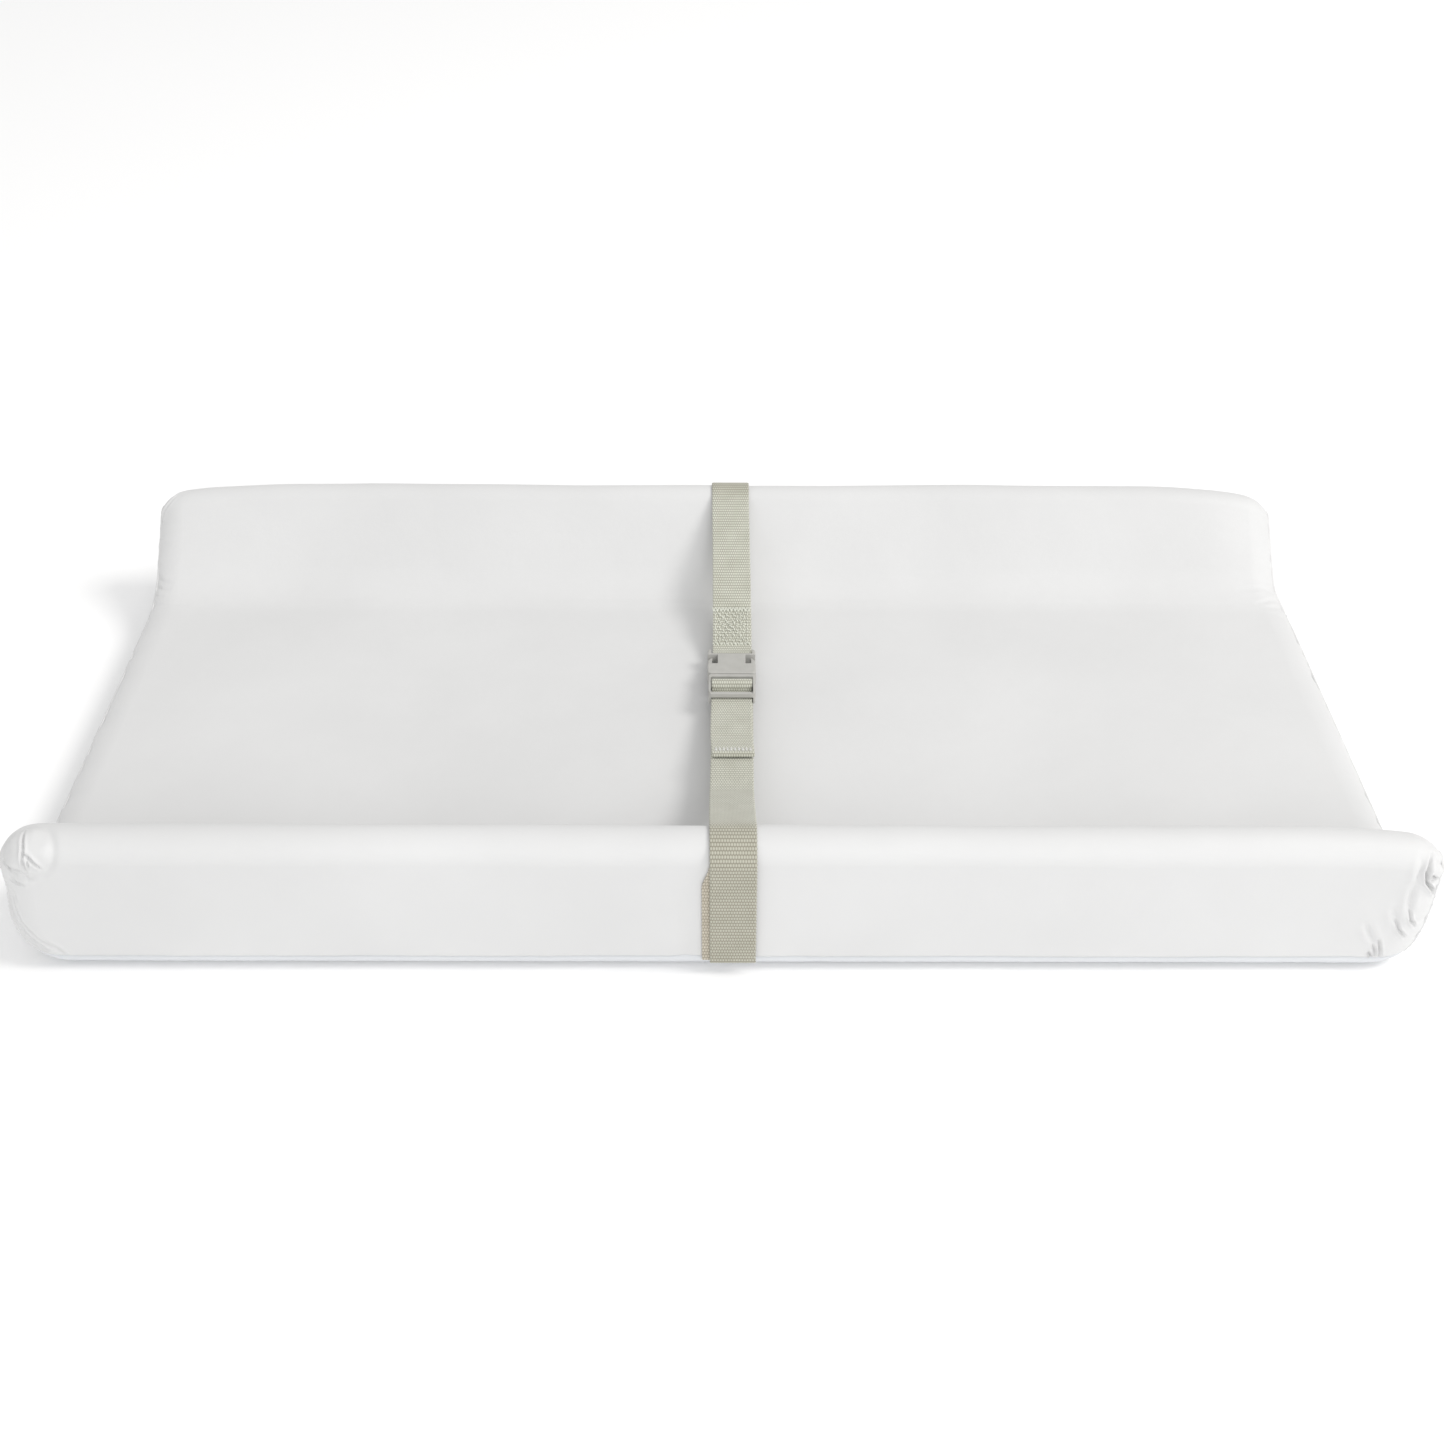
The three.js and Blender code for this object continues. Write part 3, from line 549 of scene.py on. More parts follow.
# Creases at each corner: points of (distance from the end seam, distance down from the crest), depth
# and width, in mm.
FRONT_LEFT = [
    ([(20, 2), (21.8, 12), (21.2, 17), (21.8, 25)], 2.3, 0.7),
    ([(21.8, 13.5), (25.5, 17), (30, 23)], 2.2, 0.65),
    ([(23.2, 16), (24.2, 19), (23.4, 22.5)], 1.2, 0.55),
    ([(4.5, 15.5), (9.6, 20), (15.5, 23), (20, 26)], 2.2, 0.7),
    ([(6.5, 18.5), (10.5, 23), (14.5, 27.5)], 1.8, 0.65),
    ([(9.5, 29.5), (12.5, 32.5), (17, 35)], 2.0, 0.7),
    ([(19, 28), (21, 31), (24, 31)], 0.9, 1.4),
    ([(5, 38), (8, 42), (9, 48)], 0.9, 1.1),
    ([(2.5, 42), (4, 52), (7.5, 64), (12.5, 75), (18, 83)], 1.9, 0.7),
    ([(6, 44), (8, 54), (11.5, 64), (16.5, 74), (21, 81)], 1.3, 0.6),
    ([(8, 77), (13, 82), (17, 87)], 1.6, 0.9),
    ([(19, 77), (24, 82), (27, 88)], 0.9, 1.4),
]
FRONT_RIGHT = [
    ([(12, 8), (13.2, 13), (15.4, 21), (13.6, 29), (7, 36), (2.5, 42)], 3.8, 0.95),
    ([(19, 12), (19.6, 21), (19, 31)], 1.3, 1.8),
    ([(12, 22.6), (9.4, 24.3), (6.4, 25.6)], 2.0, 0.6),
    ([(20.8, 31), (20.2, 43), (18.6, 54)], 1.4, 1.7),
    ([(18.8, 51), (16, 59.5), (10.4, 66)], 2.0, 0.65),
    ([(28, 50), (24, 59), (20.6, 65)], 1.2, 1.8),
    ([(25, 59), (20.5, 67), (14.4, 73)], 2.0, 0.65),
    ([(41, 62), (35, 71), (30, 77)], 1.2, 1.6),
    ([(30, 73.5), (26.4, 80.5), (22, 87.5)], 1.9, 0.65),
    ([(32.4, 77), (28.6, 82), (26, 86.5)], 1.5, 0.55),
    ([(32, 83), (26.6, 88)], 2.1, 0.55),
]
REAR_LEFT = [
    ([(0.5, -20), (5, -11), (14, -2), (20, 6)], 1.5, 1.0),
    ([(-1, -12), (3, -5), (10, 3)], 1.0, 0.8),
    ([(1, -62), (8, -67), (17, -70)], 0.7, 1.2),
    ([(0, -69), (9, -73), (16, -74)], 0.9, 1.0),
    ([(0, -76), (6, -78), (11, -79)], 0.9, 0.9),
    ([(4, -84), (18, -88), (30, -89)], 0.35, 1.6),
]
REAR_RIGHT = [
    ([(2, -8), (9, -1), (18, 5)], 0.7, 1.8),
    ([(1, -73), (14, -72), (34, -73)], 0.7, 1.3),
    ([(1, -79), (10, -81), (24, -86)], 0.9, 1.1),
    ([(2, -86), (12, -88), (22, -89)], 0.5, 1.3),
]
REAR_WALL_CREASES = [
    ([(2, 66), (8, 74), (14, 84)], 0.8, 1.4),
    ([(12, 70), (18, 78), (22, 86)], 0.8, 1.8),
    ([(3, 20), (9, 28), (8, 40)], 0.9, 1.6),
    ([(14, 14), (17, 26), (15, 38)], 0.6, 2.4),
]
# Shallow folds over the rear slope: points of (x from the middle, distance down from the crest), depth
# and width, in mm.
BROAD_FOLDS = [
    ([(60, 96), (200, 74), (385, 44)], 1.1, 9.0),
    ([(110, 98), (260, 96), (390, 84)], 0.8, 7.0),
    ([(-385, 92), (-240, 96), (-90, 92)], 0.5, 9.0),
    ([(-330, 30), (-180, 22), (-40, 34)], 0.4, 10.0),
]


# Knobs at the front corners: whether at the right end, then centre, radius, height, groove, gathers.
KNOBS = (
    (False, (22, 13), 16.5, 1.7, 0.8, 5),
    (True, (6.5, 20), 9.0, 2.0, 0.7, 4),
)


def measured_round():
    """For each column: distance in mm down from the nearer crest, and whether it is at the front."""
    ring = upper_section(0.0)
    walked = distances_along(ring)
    half = len(ring) // 2
    crest = half - 1 - np.argmax(ring[:half, 1][::-1])
    rear = (walked[crest] - walked) / MM
    front = rear[::-1]
    at_front = np.arange(len(ring)) > half
    return np.where(at_front, front, rear), at_front


def top_height(surface, down, at_front):
    """How far the cover stands off its plain shape: rolled seams, puckers, folds and slow waves."""
    t = surface.from_end / MM
    s = down[None, :] * np.ones_like(t)
    x = surface.grid[:, :, 0] / MM
    front = at_front[None, :] & np.ones_like(t, bool)
    side = np.where(surface.right, 1.0, 0.0)
    key = side * 500 + np.where(front, 900.0, 0.0)  # sets apart the noise of the four quarters

    # Slow waves, weaker low on the walls.
    height = 0.55 * MM * noise(x, s + key, 85.0, 1) + 0.22 * MM * noise(x, s + key, 34.0, 2)
    height *= np.where(s < -85, 0.35, 1.0)

    # Puckers along the end seams and the long seams.
    near_end = np.exp(-np.clip(t, 0, None) / 11.0)
    long_puckers = noise(t * 0.25 + side * 77, s + key, 6.5, 3)
    short_puckers = noise(t * 0.2 + side * 31, s + key, 3.4, 4)
    height += 0.55 * MM * near_end * (long_puckers + 0.6 * short_puckers)
    near_seam = np.exp(-np.clip(90.0 - s, 0, None) / 6.0)
    long_puckers = noise(x, s * 0.3 + key, 9.0, 5)
    short_puckers = noise(x, s * 0.2 + key, 4.0, 6)
    height += 0.35 * MM * near_seam * (long_puckers + 0.5 * short_puckers)

    # Creases and knobs at the corners, and shallow folds.
    corners = (
        (FRONT_LEFT, front & ~surface.right),
        (FRONT_RIGHT, front & surface.right),
        (REAR_LEFT + REAR_WALL_CREASES, ~front & ~surface.right),
        (REAR_RIGHT + REAR_WALL_CREASES, ~front & surface.right),
    )
    for creases, where in corners:
        close = where & (t < 70)
        for points, depth, width in creases:
            height[close] += crease(t[close], s[close], points, depth, width)
    for at_right, *shape in KNOBS:
        close = front & (surface.right == at_right) & (t < 50)
        height[close] += knob(t[close], s[close], *shape)
    for points, depth, width in BROAD_FOLDS:
        height[~front] += crease((x - MIDDLE_X / MM)[~front], s[~front], points, depth, width)

    # The dent under the strap on each crest, and the slack left of it on the front wall.
    strap = np.abs(x - STRAP_X / MM)
    dent = np.exp(-((strap / 15.0) ** 4)) * hill(s - 2, 16.0)
    height -= 0.35 * MM * dent
    beside = hill(x - STRAP_X / MM + 26, 5.0) * smoothstep(s, 36, 55)
    height -= np.where(front, 0.7 * MM * beside, 0)

    # Cloth that rolls in at the seams.
    roll_end = np.clip(1 - t / 1.8, 0, 1) ** 2
    roll_seam = np.clip(1 - (s.max() - s) / 2.2, 0, 1) ** 2
    return height - MM * np.maximum(0.35 * roll_end, 0.9 * roll_seam)


def cover_top():
    surface = Surface(upper_section, seam_distances(
        first=0.4 * MM, fine=0.62 * MM, fine_end=30 * MM, coarse=5 * MM))
    grid = surface.raised(top_height(surface, *measured_round()))
    piece = thick_grid("cover_top", grid, CLOTH, outward=(0, 0, 1))
    finished(piece, "root", "cover_fabric", COVER, "cover_top_panel")
    width = np.linalg.norm(np.diff(upper_section(0.0), axis=0), axis=1).sum()


def cover_bottom():
    surface = Surface(lower_section, seam_distances(
        first=0.5 * MM, fine=1.4 * MM, fine_end=16 * MM, coarse=7 * MM))
    walked = distances_along(lower_section(0.0))
    edge = np.minimum(walked, walked[-1] - walked)[None, :] / MM * np.ones_like(surface.from_end)
    t = surface.from_end / MM
    x = surface.grid[:, :, 0] / MM
    y = surface.grid[:, :, 1] / MM
    height = 0.3 * MM * np.exp(-edge / 7.0) * noise(x, np.sign(y) * 50, 8.0, 11)
    height += 0.25 * MM * np.exp(-t / 9.0) * noise(t * 0.2, y, 7.0, 12) * smoothstep(edge, 0, 12)
    height -= 0.25 * MM * smoothstep(edge, 14, 30) * (1 + noise(x, y, 60.0, 13)) / 2
    roll = np.maximum(np.clip(1 - t / 2.4, 0, 1), np.clip(1 - edge / 3.2, 0, 1)) ** 1.5
    grid = surface.raised(height - 3.2 * MM * roll)
    grid[..., 2] = np.maximum(grid[..., 2], 0)
    piece = thick_grid("cover_bottom", grid, CLOTH, outward=(0, 0, -1))
    finished(piece, "root", "underside_fabric", UNDERSIDE, "cover_bottom_panel")


# ---- end panels and welts ----

WALL_COUNTS = (10, 44, 22)
TOP_COUNTS = (12, 34, 10, 34)


def end_sides(inset):
    """An end panel's outline: rear wall up, top to the front, front wall up, and bottom."""
    low = arc(SKIRT, BOTTOM_R - inset, -45, 0, WALL_COUNTS[0])
    high = arc(CREST, CREST_R - inset, 0, 90, WALL_COUNTS[2])
    rear = joined(low, straight(low[-1], high[0], WALL_COUNTS[1]), high)
    over = arc(CREST, CREST_R - inset, 90, 90 + SLOPE, TOP_COUNTS[0])
    hollow = arc(FOOT_CENTRE, FOOT_R + inset, 270 + SLOPE, 270, TOP_COUNTS[2])
    flat = straight(hollow[-1], (0, VALLEY - inset), TOP_COUNTS[3])
    half = joined(over, straight(over[-1], hollow[0], TOP_COUNTS[1]), hollow, flat)
    top = joined(half, mirrored(half))
    bend = arc(SKIRT, BOTTOM_R - inset, -45, -90, 8)
    below = joined(bend, mirrored(bend))
    y = bend[0, 0] * top[:, 0] / top[0, 0]
    under = np.column_stack([y, np.interp(-y, -below[:, 0], below[:, 1])])
    return rear, top, rear * [-1, 1], under


def end_ring(inset):
    """Round the whole outline: up the rear wall, over to the front, down, and back underneath."""
    rear, top, front, under = end_sides(inset)
    return np.vstack([rear[:-1], top[:-1], front[::-1][:-1], under[::-1][:-1]])


def filled(inset):
    """A grid over the flat of an end: rows up the walls, columns from the rear to the front."""
    rear, top, front, under = end_sides(inset)
    v = ((rear[:, 1] - rear[0, 1]) / (rear[-1, 1] - rear[0, 1]))[:, None, None]
    u = ((1 - top[:, 0] / top[0, 0]) / 2)[None, :, None]
    edges = (1 - v) * under[None] + v * top[None] + (1 - u) * rear[:, None] + u * front[:, None]
    corners = (1 - u) * (1 - v) * under[0] + u * (1 - v) * under[-1]
    corners += (1 - u) * v * top[0] + u * v * top[-1]
    return edges - corners


def ring_of(index):
    """Point numbers round a filled grid, in the order of end_ring."""
    return np.concatenate([index[:-1, 0], index[-1, :-1], index[:0:-1, -1], index[0, :0:-1]])


# Degrees round the rounding of an end where an end panel has rings of points.
END_RINGS = (END_SEAM - 4, END_SEAM + 0.5, END_SEAM + 4, END_SEAM + 9, 78, 82, 86)


def cover_end(side, name, node):
    flat = filled(END_INSET)
    rows, columns, _ = flat.shape
    index = numbered(rows, columns)
    points = [np.insert(flat.reshape(-1, 2), 0, HALF_LENGTH, axis=1)]
    rings = []
    start = rows * columns
    for angle in END_RINGS:
        x, inset = end_rounding(math.radians(angle))
        ring = end_ring(inset)
        points.append(np.insert(ring, 0, x, axis=1))
        rings.append(np.arange(start, start + len(ring)))
        start += len(ring)
    rings.append(ring_of(index))
    faces = [quads(index)]
    for outer, inner in zip(rings, rings[1:]):
        faces.append(np.stack([outer, np.roll(outer, -1), np.roll(inner, -1), inner], -1))
    points = np.vstack(points)
    faces = np.vstack(faces)
    y, z = points[:, 1] / MM, points[:, 2] / MM
    edge_ring = points[rings[0]][:, 1:] / MM
    away = np.hypot(edge_ring[:, :1] - y, edge_ring[:, 1:] - z).min(0)
    crown = 1.3 * smoothstep(away, 0, 30)
    wrinkle = 0.5 * np.exp(-away / 9.0) * noise(y * 1.1, z * 1.1 + side * 40, 6.0, 21)
    wrinkle += 0.5 * noise(y, z + side * 90, 30.0, 22) * smoothstep(away, 0, 20)
    if side > 0:  # flat round the zipper
        zip_z = sum(corner.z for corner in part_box("zipper_tape")) / 2 / MM
        tape = smoothstep(np.abs(z - zip_z), 5.5, 15) + smoothstep(np.abs(y), 138, 150)
        crown = crown * np.clip(tape, 0, 1)
        wrinkle = wrinkle * np.clip(tape, 0, 1)
    normals = point_normals(points, faces)
    if normals[:, 0].sum() < 0:
        normals = -normals
    depth = np.zeros(len(points))
    for ring, roll in zip(rings[:3], (1.6, 0.5, 0.05)):
        depth[ring] = roll
    points = points + normals * ((crown + wrinkle - depth) * MM)[:, None]
    points[:, 0] = np.minimum(points[:, 0], HALF_LENGTH + (0.0 if side > 0 else 3.2 * MM))
    points = slumped(points * [side, 1, 1] + [MIDDLE_X, 0, 0])
    piece = thick_skin(name, points, faces, rings[0], CLOTH, outward=(side, 0, 0))
    finished(piece, "root", "cover_fabric", COVER, node)


# The welt's outline: (along the rounding, off the cloth), in mm.
WELT = (
    (-0.9, -0.8), (-0.95, 0), (-0.6, 0.45), (0, 0.6), (0.6, 0.45), (0.95, 0), (0.9, -0.8), (0, -1.2),
)
WELT_STEP = 1.1 * MM


def end_welt(side, name, node):
    """The folded seam allowance that stands over an end seam, puckered by its stitches."""
    a = math.radians(END_SEAM)
    count = int(distances_along(end_ring(end_rounding(a)[1]))[-1] / WELT_STEP)
    k = np.arange(count)
    rings = []
    for across, off in WELT:
        x, inset = end_rounding(a - across * MM / END_R)
        ring = end_ring(inset - off * MM * math.cos(a))
        ring = np.vstack([ring, ring[:1]])
        length = distances_along(ring)
        place = np.linspace(0, length[-1], count + 1)[:-1]
        y = np.interp(place, length, ring[:, 0])
        z = np.interp(place, length, ring[:, 1])
        swell = 0.22 * MM * noise(k * 1.1, k * 0 + across * 0.4 + side * 9, 3.2, 31)
        lift = (swell + 0.12 * MM * np.cos(k * 1.9)) * (1 if off > 0 else 0)
        out = np.full(count, MIDDLE_X + side * (x + off * MM * math.sin(a))) + side * lift * 0.7
        wider = 1 + lift / np.hypot(y, z - 40 * MM)
        rings.append(np.column_stack([out, y * wider, z + lift * np.sign(z - 40 * MM) * 0.3]))
    points = slumped(np.vstack(rings))
    faces = quads(np.pad(numbered(len(WELT), count), ((0, 1), (0, 1)), mode="wrap"))
    rows = points.reshape(len(WELT), count, 3)
    vectors = face_vectors(points, faces).reshape(rows.shape)
    if (vectors * (rows - rows.mean(0)))[:-1].sum() < 0:
        faces = faces[:, ::-1]
    finished(new_object(name, points, faces.tolist()), "root", "cover_fabric", COVER, node)


# ---- foam ----


FOAM_DEPTH = 3.6 * MM  # of the foam under the cover's surface


def lofted(name, section):
    """A foam block with an outline at each place along the pad, rounded at its ends."""
    angles = np.radians(np.linspace(0, 90, 10))
    x = HALF_LENGTH - END_R + (END_R - 2.6 * FOAM_DEPTH) * np.sin(angles)
    inset = END_INSET * (1 - np.cos(angles)) + FOAM_DEPTH * np.cos(angles)
    middle = [(a, FOAM_DEPTH) for a in np.linspace(-x[0], x[0], 60)[1:-1]]
    stations = [(-a, b) for a, b in zip(x[::-1], inset[::-1])] + middle + list(zip(x, inset))
    outlines = [section(b) for _, b in stations]
    rings = [np.insert(line, 0, MIDDLE_X + a, axis=1) for (a, _), line in zip(stations, outlines)]
    index = numbered(len(rings), len(rings[0]))
    faces = quads(np.pad(index, ((0, 0), (0, 1)), mode="wrap"))
    return facing_out(name, slumped(np.vstack(rings)), faces, [index[0][::-1], index[-1]])


def foam_base_section(inset):
    bend = arc(SKIRT, BOTTOM_R - inset, -90, 0, 8)
    rear = np.vstack([bend, [[HALF_WIDTH - inset, VALLEY - inset]]])
    return np.vstack([rear, mirrored(rear)])


def foam_wedge_section(inset):
    slope = math.radians(SLOPE)
    floor = VALLEY - inset + GAP
    slope_y = HALF_WIDTH - FOOT + inset * math.sin(slope)
    rise = floor - VALLEY + inset * math.cos(slope)
    crest = arc(CREST, CREST_R - inset, 0, 90 + SLOPE, 24)
    toe = slope_y + rise / math.tan(slope)
    return np.vstack([[[HALF_WIDTH - inset, floor]], crest, [[toe, floor]]])


def foam():
    pieces = (
        ("foam_core", foam_base_section, "foam_base"),
        ("foam_rear", foam_wedge_section, "foam_wedge_rear"),
        ("foam_front", lambda inset: mirrored(foam_wedge_section(inset)), "foam_wedge_front"),
    )
    for name, section, node in pieces:
        piece = finished(lofted(name, section), "root", "foam", FOAM, node)


# ---- strap ----

BACKING_OFF = GAP + WEB_T / 2  # from the cover to the middle of the under layer
OUTER_OFF = BACKING_OFF + GAP + WEB_T
SOCKET_BAR = (48.3 * MM, 1.9 * MM)  # place along the buckle, and radius
LOOP_R = SOCKET_BAR[1] + 0.4 * MM + WEB_T / 2
MAIN_LEVEL = -4.2 * MM  # of the front strap, from the buckle's middle plane
STRAIGHT_END = -112 * MM  # place along the buckle where the front strap bends up
BEND_R = 60 * MM
FOLD_LEVEL = WEB_T + 0.35 * MM  # of the rear strap's folded end over the strap
FOLD_LENGTH = 40 * MM
FOLD_JOIN = 8.5 * MM


def from_buckle(y, z):
    """A point of the tilted buckle's own frame, in the pad's frame."""
    sin, cos = math.sin(TILT), math.cos(TILT)
    return (y * cos + z * sin, BUCKLE_Z - y * sin + z * cos)


BAR_AT = from_buckle(SOCKET_BAR[0], 0)
REAR_SLOPE = tangent_slope(BAR_AT, CREST, CREST_R + BACKING_OFF + LOOP_R)


def wall_line(offset, top):
    """A strap's middle line up the rear wall, as (y, z)."""
    bend = arc(SKIRT, BOTTOM_R + offset, STRAP_BOTTOM, 0, 8)
    return joined(bend, straight(bend[-1], (HALF_WIDTH + offset, top), 40))


def crest_line(leave):
    """The line over the rear crest, sinking to the cloth beyond the end of the under layer."""
    outer, inner = CREST_R + OUTER_OFF, CREST_R + BACKING_OFF
    start = math.degrees(math.asin((WALL_TOP - CREST[1]) / outer))
    angle = np.linspace(start, leave, 60)
    radius = outer + (inner - outer) * smoothstep(angle, start, 60)
    turn = np.radians(angle)
    return np.column_stack([CREST[0] + radius * np.cos(turn), CREST[1] + radius * np.sin(turn)])


def on_rear_strap(along, off):
    """A place along the rear strap from the socket's bar, and off its middle line."""
    a = math.radians(REAR_SLOPE)
    side = math.radians(REAR_SLOPE - 90)
    y, z = BAR_AT[0] + LOOP_R * math.cos(side), BAR_AT[1] + LOOP_R * math.sin(side)
    return (y + along * math.cos(a) - off * math.sin(a), z + along * math.sin(a) + off * math.cos(a))


def rear_line():
    """Up the rear wall, over the crest, down to the socket's bar, round it, and back on itself."""
    coming_down = (FOLD_LEVEL + 2 * LOOP_R) / 2 - 0.5 * MM
    back = [
        on_rear_strap(FOLD_JOIN / 2, coming_down),
        on_rear_strap(FOLD_JOIN, FOLD_LEVEL + 0.25 * MM),
        on_rear_strap(FOLD_JOIN + 4 * MM, FOLD_LEVEL),
        on_rear_strap(FOLD_LENGTH, FOLD_LEVEL),
    ]
    return np.vstack([
        wall_line(OUTER_OFF, WALL_TOP),
        crest_line(90 + REAR_SLOPE)[1:],
        arc(BAR_AT, LOOP_R, REAR_SLOPE - 90, -272, 30),
        np.array(back),
    ])


def front_line():
    """Up the front wall, over the crest and down to where the strap runs straight to the buckle."""
    bend_at = from_buckle(STRAIGHT_END, MAIN_LEVEL)
    climb = tangent_slope((-bend_at[0], bend_at[1]), CREST, CREST_R + BACKING_OFF)
    reach = BEND_R * math.tan(math.radians(climb - math.degrees(TILT)) / 2)
    start = from_buckle(STRAIGHT_END + reach, MAIN_LEVEL)
    centre = (start[0] + BEND_R * math.sin(TILT), start[1] + BEND_R * math.cos(TILT))
    crest = crest_line(90 + climb) * [-1, 1]
    return np.vstack([
        wall_line(OUTER_OFF, WALL_TOP) * [-1, 1],
        crest[1:],
        arc(centre, BEND_R, 270 - climb, 270 - math.degrees(TILT), 12),
    ])


def resampled(line):
    """The same line in even short steps, and the distance along it."""
    walked = distances_along(line)
    place = np.linspace(0, walked[-1], max(int(round(walked[-1] / WEB_STEP)), 2) + 1)
    return np.column_stack([np.interp(place, walked, line[:, i]) for i in (0, 1)]), place


def softened(values, passes):
    """Rounds off the kinks of a fine line without moving its ends."""
    for _ in range(passes):
        inner = (values[:-2] + 2 * values[1:-1] + values[2:]) / 4
        values = np.vstack([values[:1], inner, values[-1:]])
    return values


def weave(u, v):
    """Height from 0 to 1 of the webbing's floats at a place across and along it."""
    row = np.round(v / PICK)
    wide = np.abs(np.cos(math.pi * (u / WARP + 0.5 * row)))
    tall = np.cos(math.pi * (v / PICK - row))
    return np.clip(wide * tall, 0, 1) ** 0.6


WEB_STEP = 0.44 * MM  # between two rows of points
RELIEF = 0.24 * MM  # height of the floats
SELVAGE = 0.7 * MM  # width of each edge, which thins out


def webbing(name, line, drift, centre_x=STRAP_X, start=0.0, soft=6):
    """A woven strap along a line of (y, z) points, with real relief on both faces.

    drift gives its sideways offset along the line, start the distance where its weave begins, and
    soft how much its kinks are rounded.
    """
    fine, place = resampled(line)
    fine = softened(fine, soft)
    ahead = np.gradient(fine, axis=0)
    ahead /= np.linalg.norm(ahead, axis=1, keepdims=True)
    normal = np.column_stack([-ahead[:, 1], ahead[:, 0]])
    across = np.linspace(-WEB_W / 2, WEB_W / 2, 69)
    edge = np.clip((np.abs(across) - (WEB_W / 2 - SELVAGE)) / SELVAGE, 0, 1)
    body = (WEB_T / 2 - RELIEF / 2) * np.sqrt(1 - (edge * 0.92) ** 2)
    u, v = np.meshgrid(across, place + start)
    bulge = 0.18 * MM * np.cos(2 * math.pi * v / PICK) * np.sign(u) * edge
    x = centre_x + u + bulge + drift(fine)[:, None]
    sides, uv = [], []
    for sign, shift in ((1, 0), (-1, WARP / 2)):
        height = body + weave(u + shift, v) * RELIEF * (1 - 0.5 * edge)
        y = fine[:, :1] + sign * normal[:, :1] * height
        z = fine[:, 1:] + sign * normal[:, 1:] * height
        sides.append(np.stack([x, y, z], -1)[:, ::sign])
        uv.append(np.stack([u + shift, v], -1)[:, ::sign])
    grid, uv = np.concatenate(sides, 1), np.concatenate(uv, 1)
    index = numbered(*grid.shape[:2])
    half = len(across)
    every = [quads(np.pad(index, ((0, 0), (0, 1)), mode="wrap"))]
    for ring, turn in ((index[0], 1), (index[-1], -1)):
        top, low = ring[:half], ring[half:][::-1]
        every.append(np.stack([top[:-1], top[1:], low[1:], low[:-1]], -1)[:, ::turn])
    made = facing_out(name, grid.reshape(-1, 3), np.vstack(every), uv=uv.reshape(-1, 2))
    made.data.set_sharp_from_angle(angle=math.radians(75))
    return made


def rear_sway(line):
    return 0.5 * MM * np.sin(line[:, 0] / 0.045)


def front_sway(line):
    return 0.6 * MM * np.sin(line[:, 0] / 0.05 + 1.2)


def turned_in(line):
    """How the front under layer leans behind the outer one towards its top."""
    return 4.0 * MM * smoothstep(line[:, 1], 0.062, 0.077)


def straight_on(line):
    return np.zeros(len(line))


def straps():
    rear = webbing("rear_strap_webbing", rear_line(), rear_sway)
    finished(rear, None, "webbing", WEBBING, "rear_strap_wall", "rear_strap_span")
    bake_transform(rear)
    line = front_line()
    front = webbing("front_strap_webbing", line, front_sway)
    finished(front, None, "webbing", WEBBING, "front_strap_wall")
    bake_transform(front)
    lower_start = line[-1]
    run = straight(lower_start, from_buckle(10.5 * MM, MAIN_LEVEL), 40)
    lower = webbing("front_strap_lower_run", run, front_sway, start=resampled(line)[1][-1], soft=0)
    finished(lower, None, "webbing", WEBBING, "front_strap_span")
    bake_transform(lower)
    for name, sign, x, drift, node in (
        ("rear_strap_under_layer", 1, STRAP_X, straight_on, "rear_strap_backing"),
        ("front_strap_under_layer", -1, BACKING_X, turned_in, "front_strap_backing"),
    ):
        wall = wall_line(BACKING_OFF, WALL_TOP - 1 * MM) * [sign, 1]
        layer = webbing(name, wall, drift, centre_x=x, start=1.1 * MM)
        # The under layers take the webbing colours with painted shade.
        finished(layer, "root", "webbing", PAINTED_SHADE_BACKING, node)
    adjuster()


# In mm in the buckle's frame: the ladder bar's (y, z, radius), and places and levels of the webbing.
LADDER_BAR = (6.0, 1.4, 2.8)
PLUG_END = -8.0
WRAP_LEVEL = -1.3
TAIL_END = -76.0
TAIL_FLAT = -2.3
TAIL_LIFT = 1.9
TAIL_HEM = 7.0


def tail_sway(line):
    y = line[:, 0]
    return 0.5 * MM * np.sin(y / 0.03) + 0.9 * MM * smoothstep(-y, 0.05, 0.08)


def adjuster():
    """The webbing that turns over the ladder bar, comes out under the end bar and ends in a hem."""
    bar_y, bar_z, bar_r = LADDER_BAR
    radius = bar_r + 0.3 + WEB_T / MM / 2
    turn = 1.6
    fold = (WEB_T / MM + 0.3) / 2
    top = TAIL_FLAT + TAIL_LIFT
    route = np.vstack([
        arc((bar_y, bar_z), radius, -80, 180, 30),
        arc((bar_y - radius - turn, WRAP_LEVEL + turn), turn, 0, -90, 8)[1:],
        [[PLUG_END - 6, WRAP_LEVEL - 0.3], [PLUG_END - 13, TAIL_FLAT]],
        [[TAIL_END + 22, TAIL_FLAT], [TAIL_END + 12, TAIL_FLAT + 1], [TAIL_END + 4, top]],
        arc((TAIL_END, top - fold), fold, 90, 270, 10),
        [[TAIL_END + TAIL_HEM, top - 2 * fold]],
    ])
    line = np.array([from_buckle(y * MM, z * MM) for y, z in route])
    tail = webbing("strap_adjuster_webbing", line, tail_sway, start=0.2, soft=3)
    finished(tail, None, "webbing", WEBBING, "strap_wrap", "strap_tail")
    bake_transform(tail)


# ---- threads ----


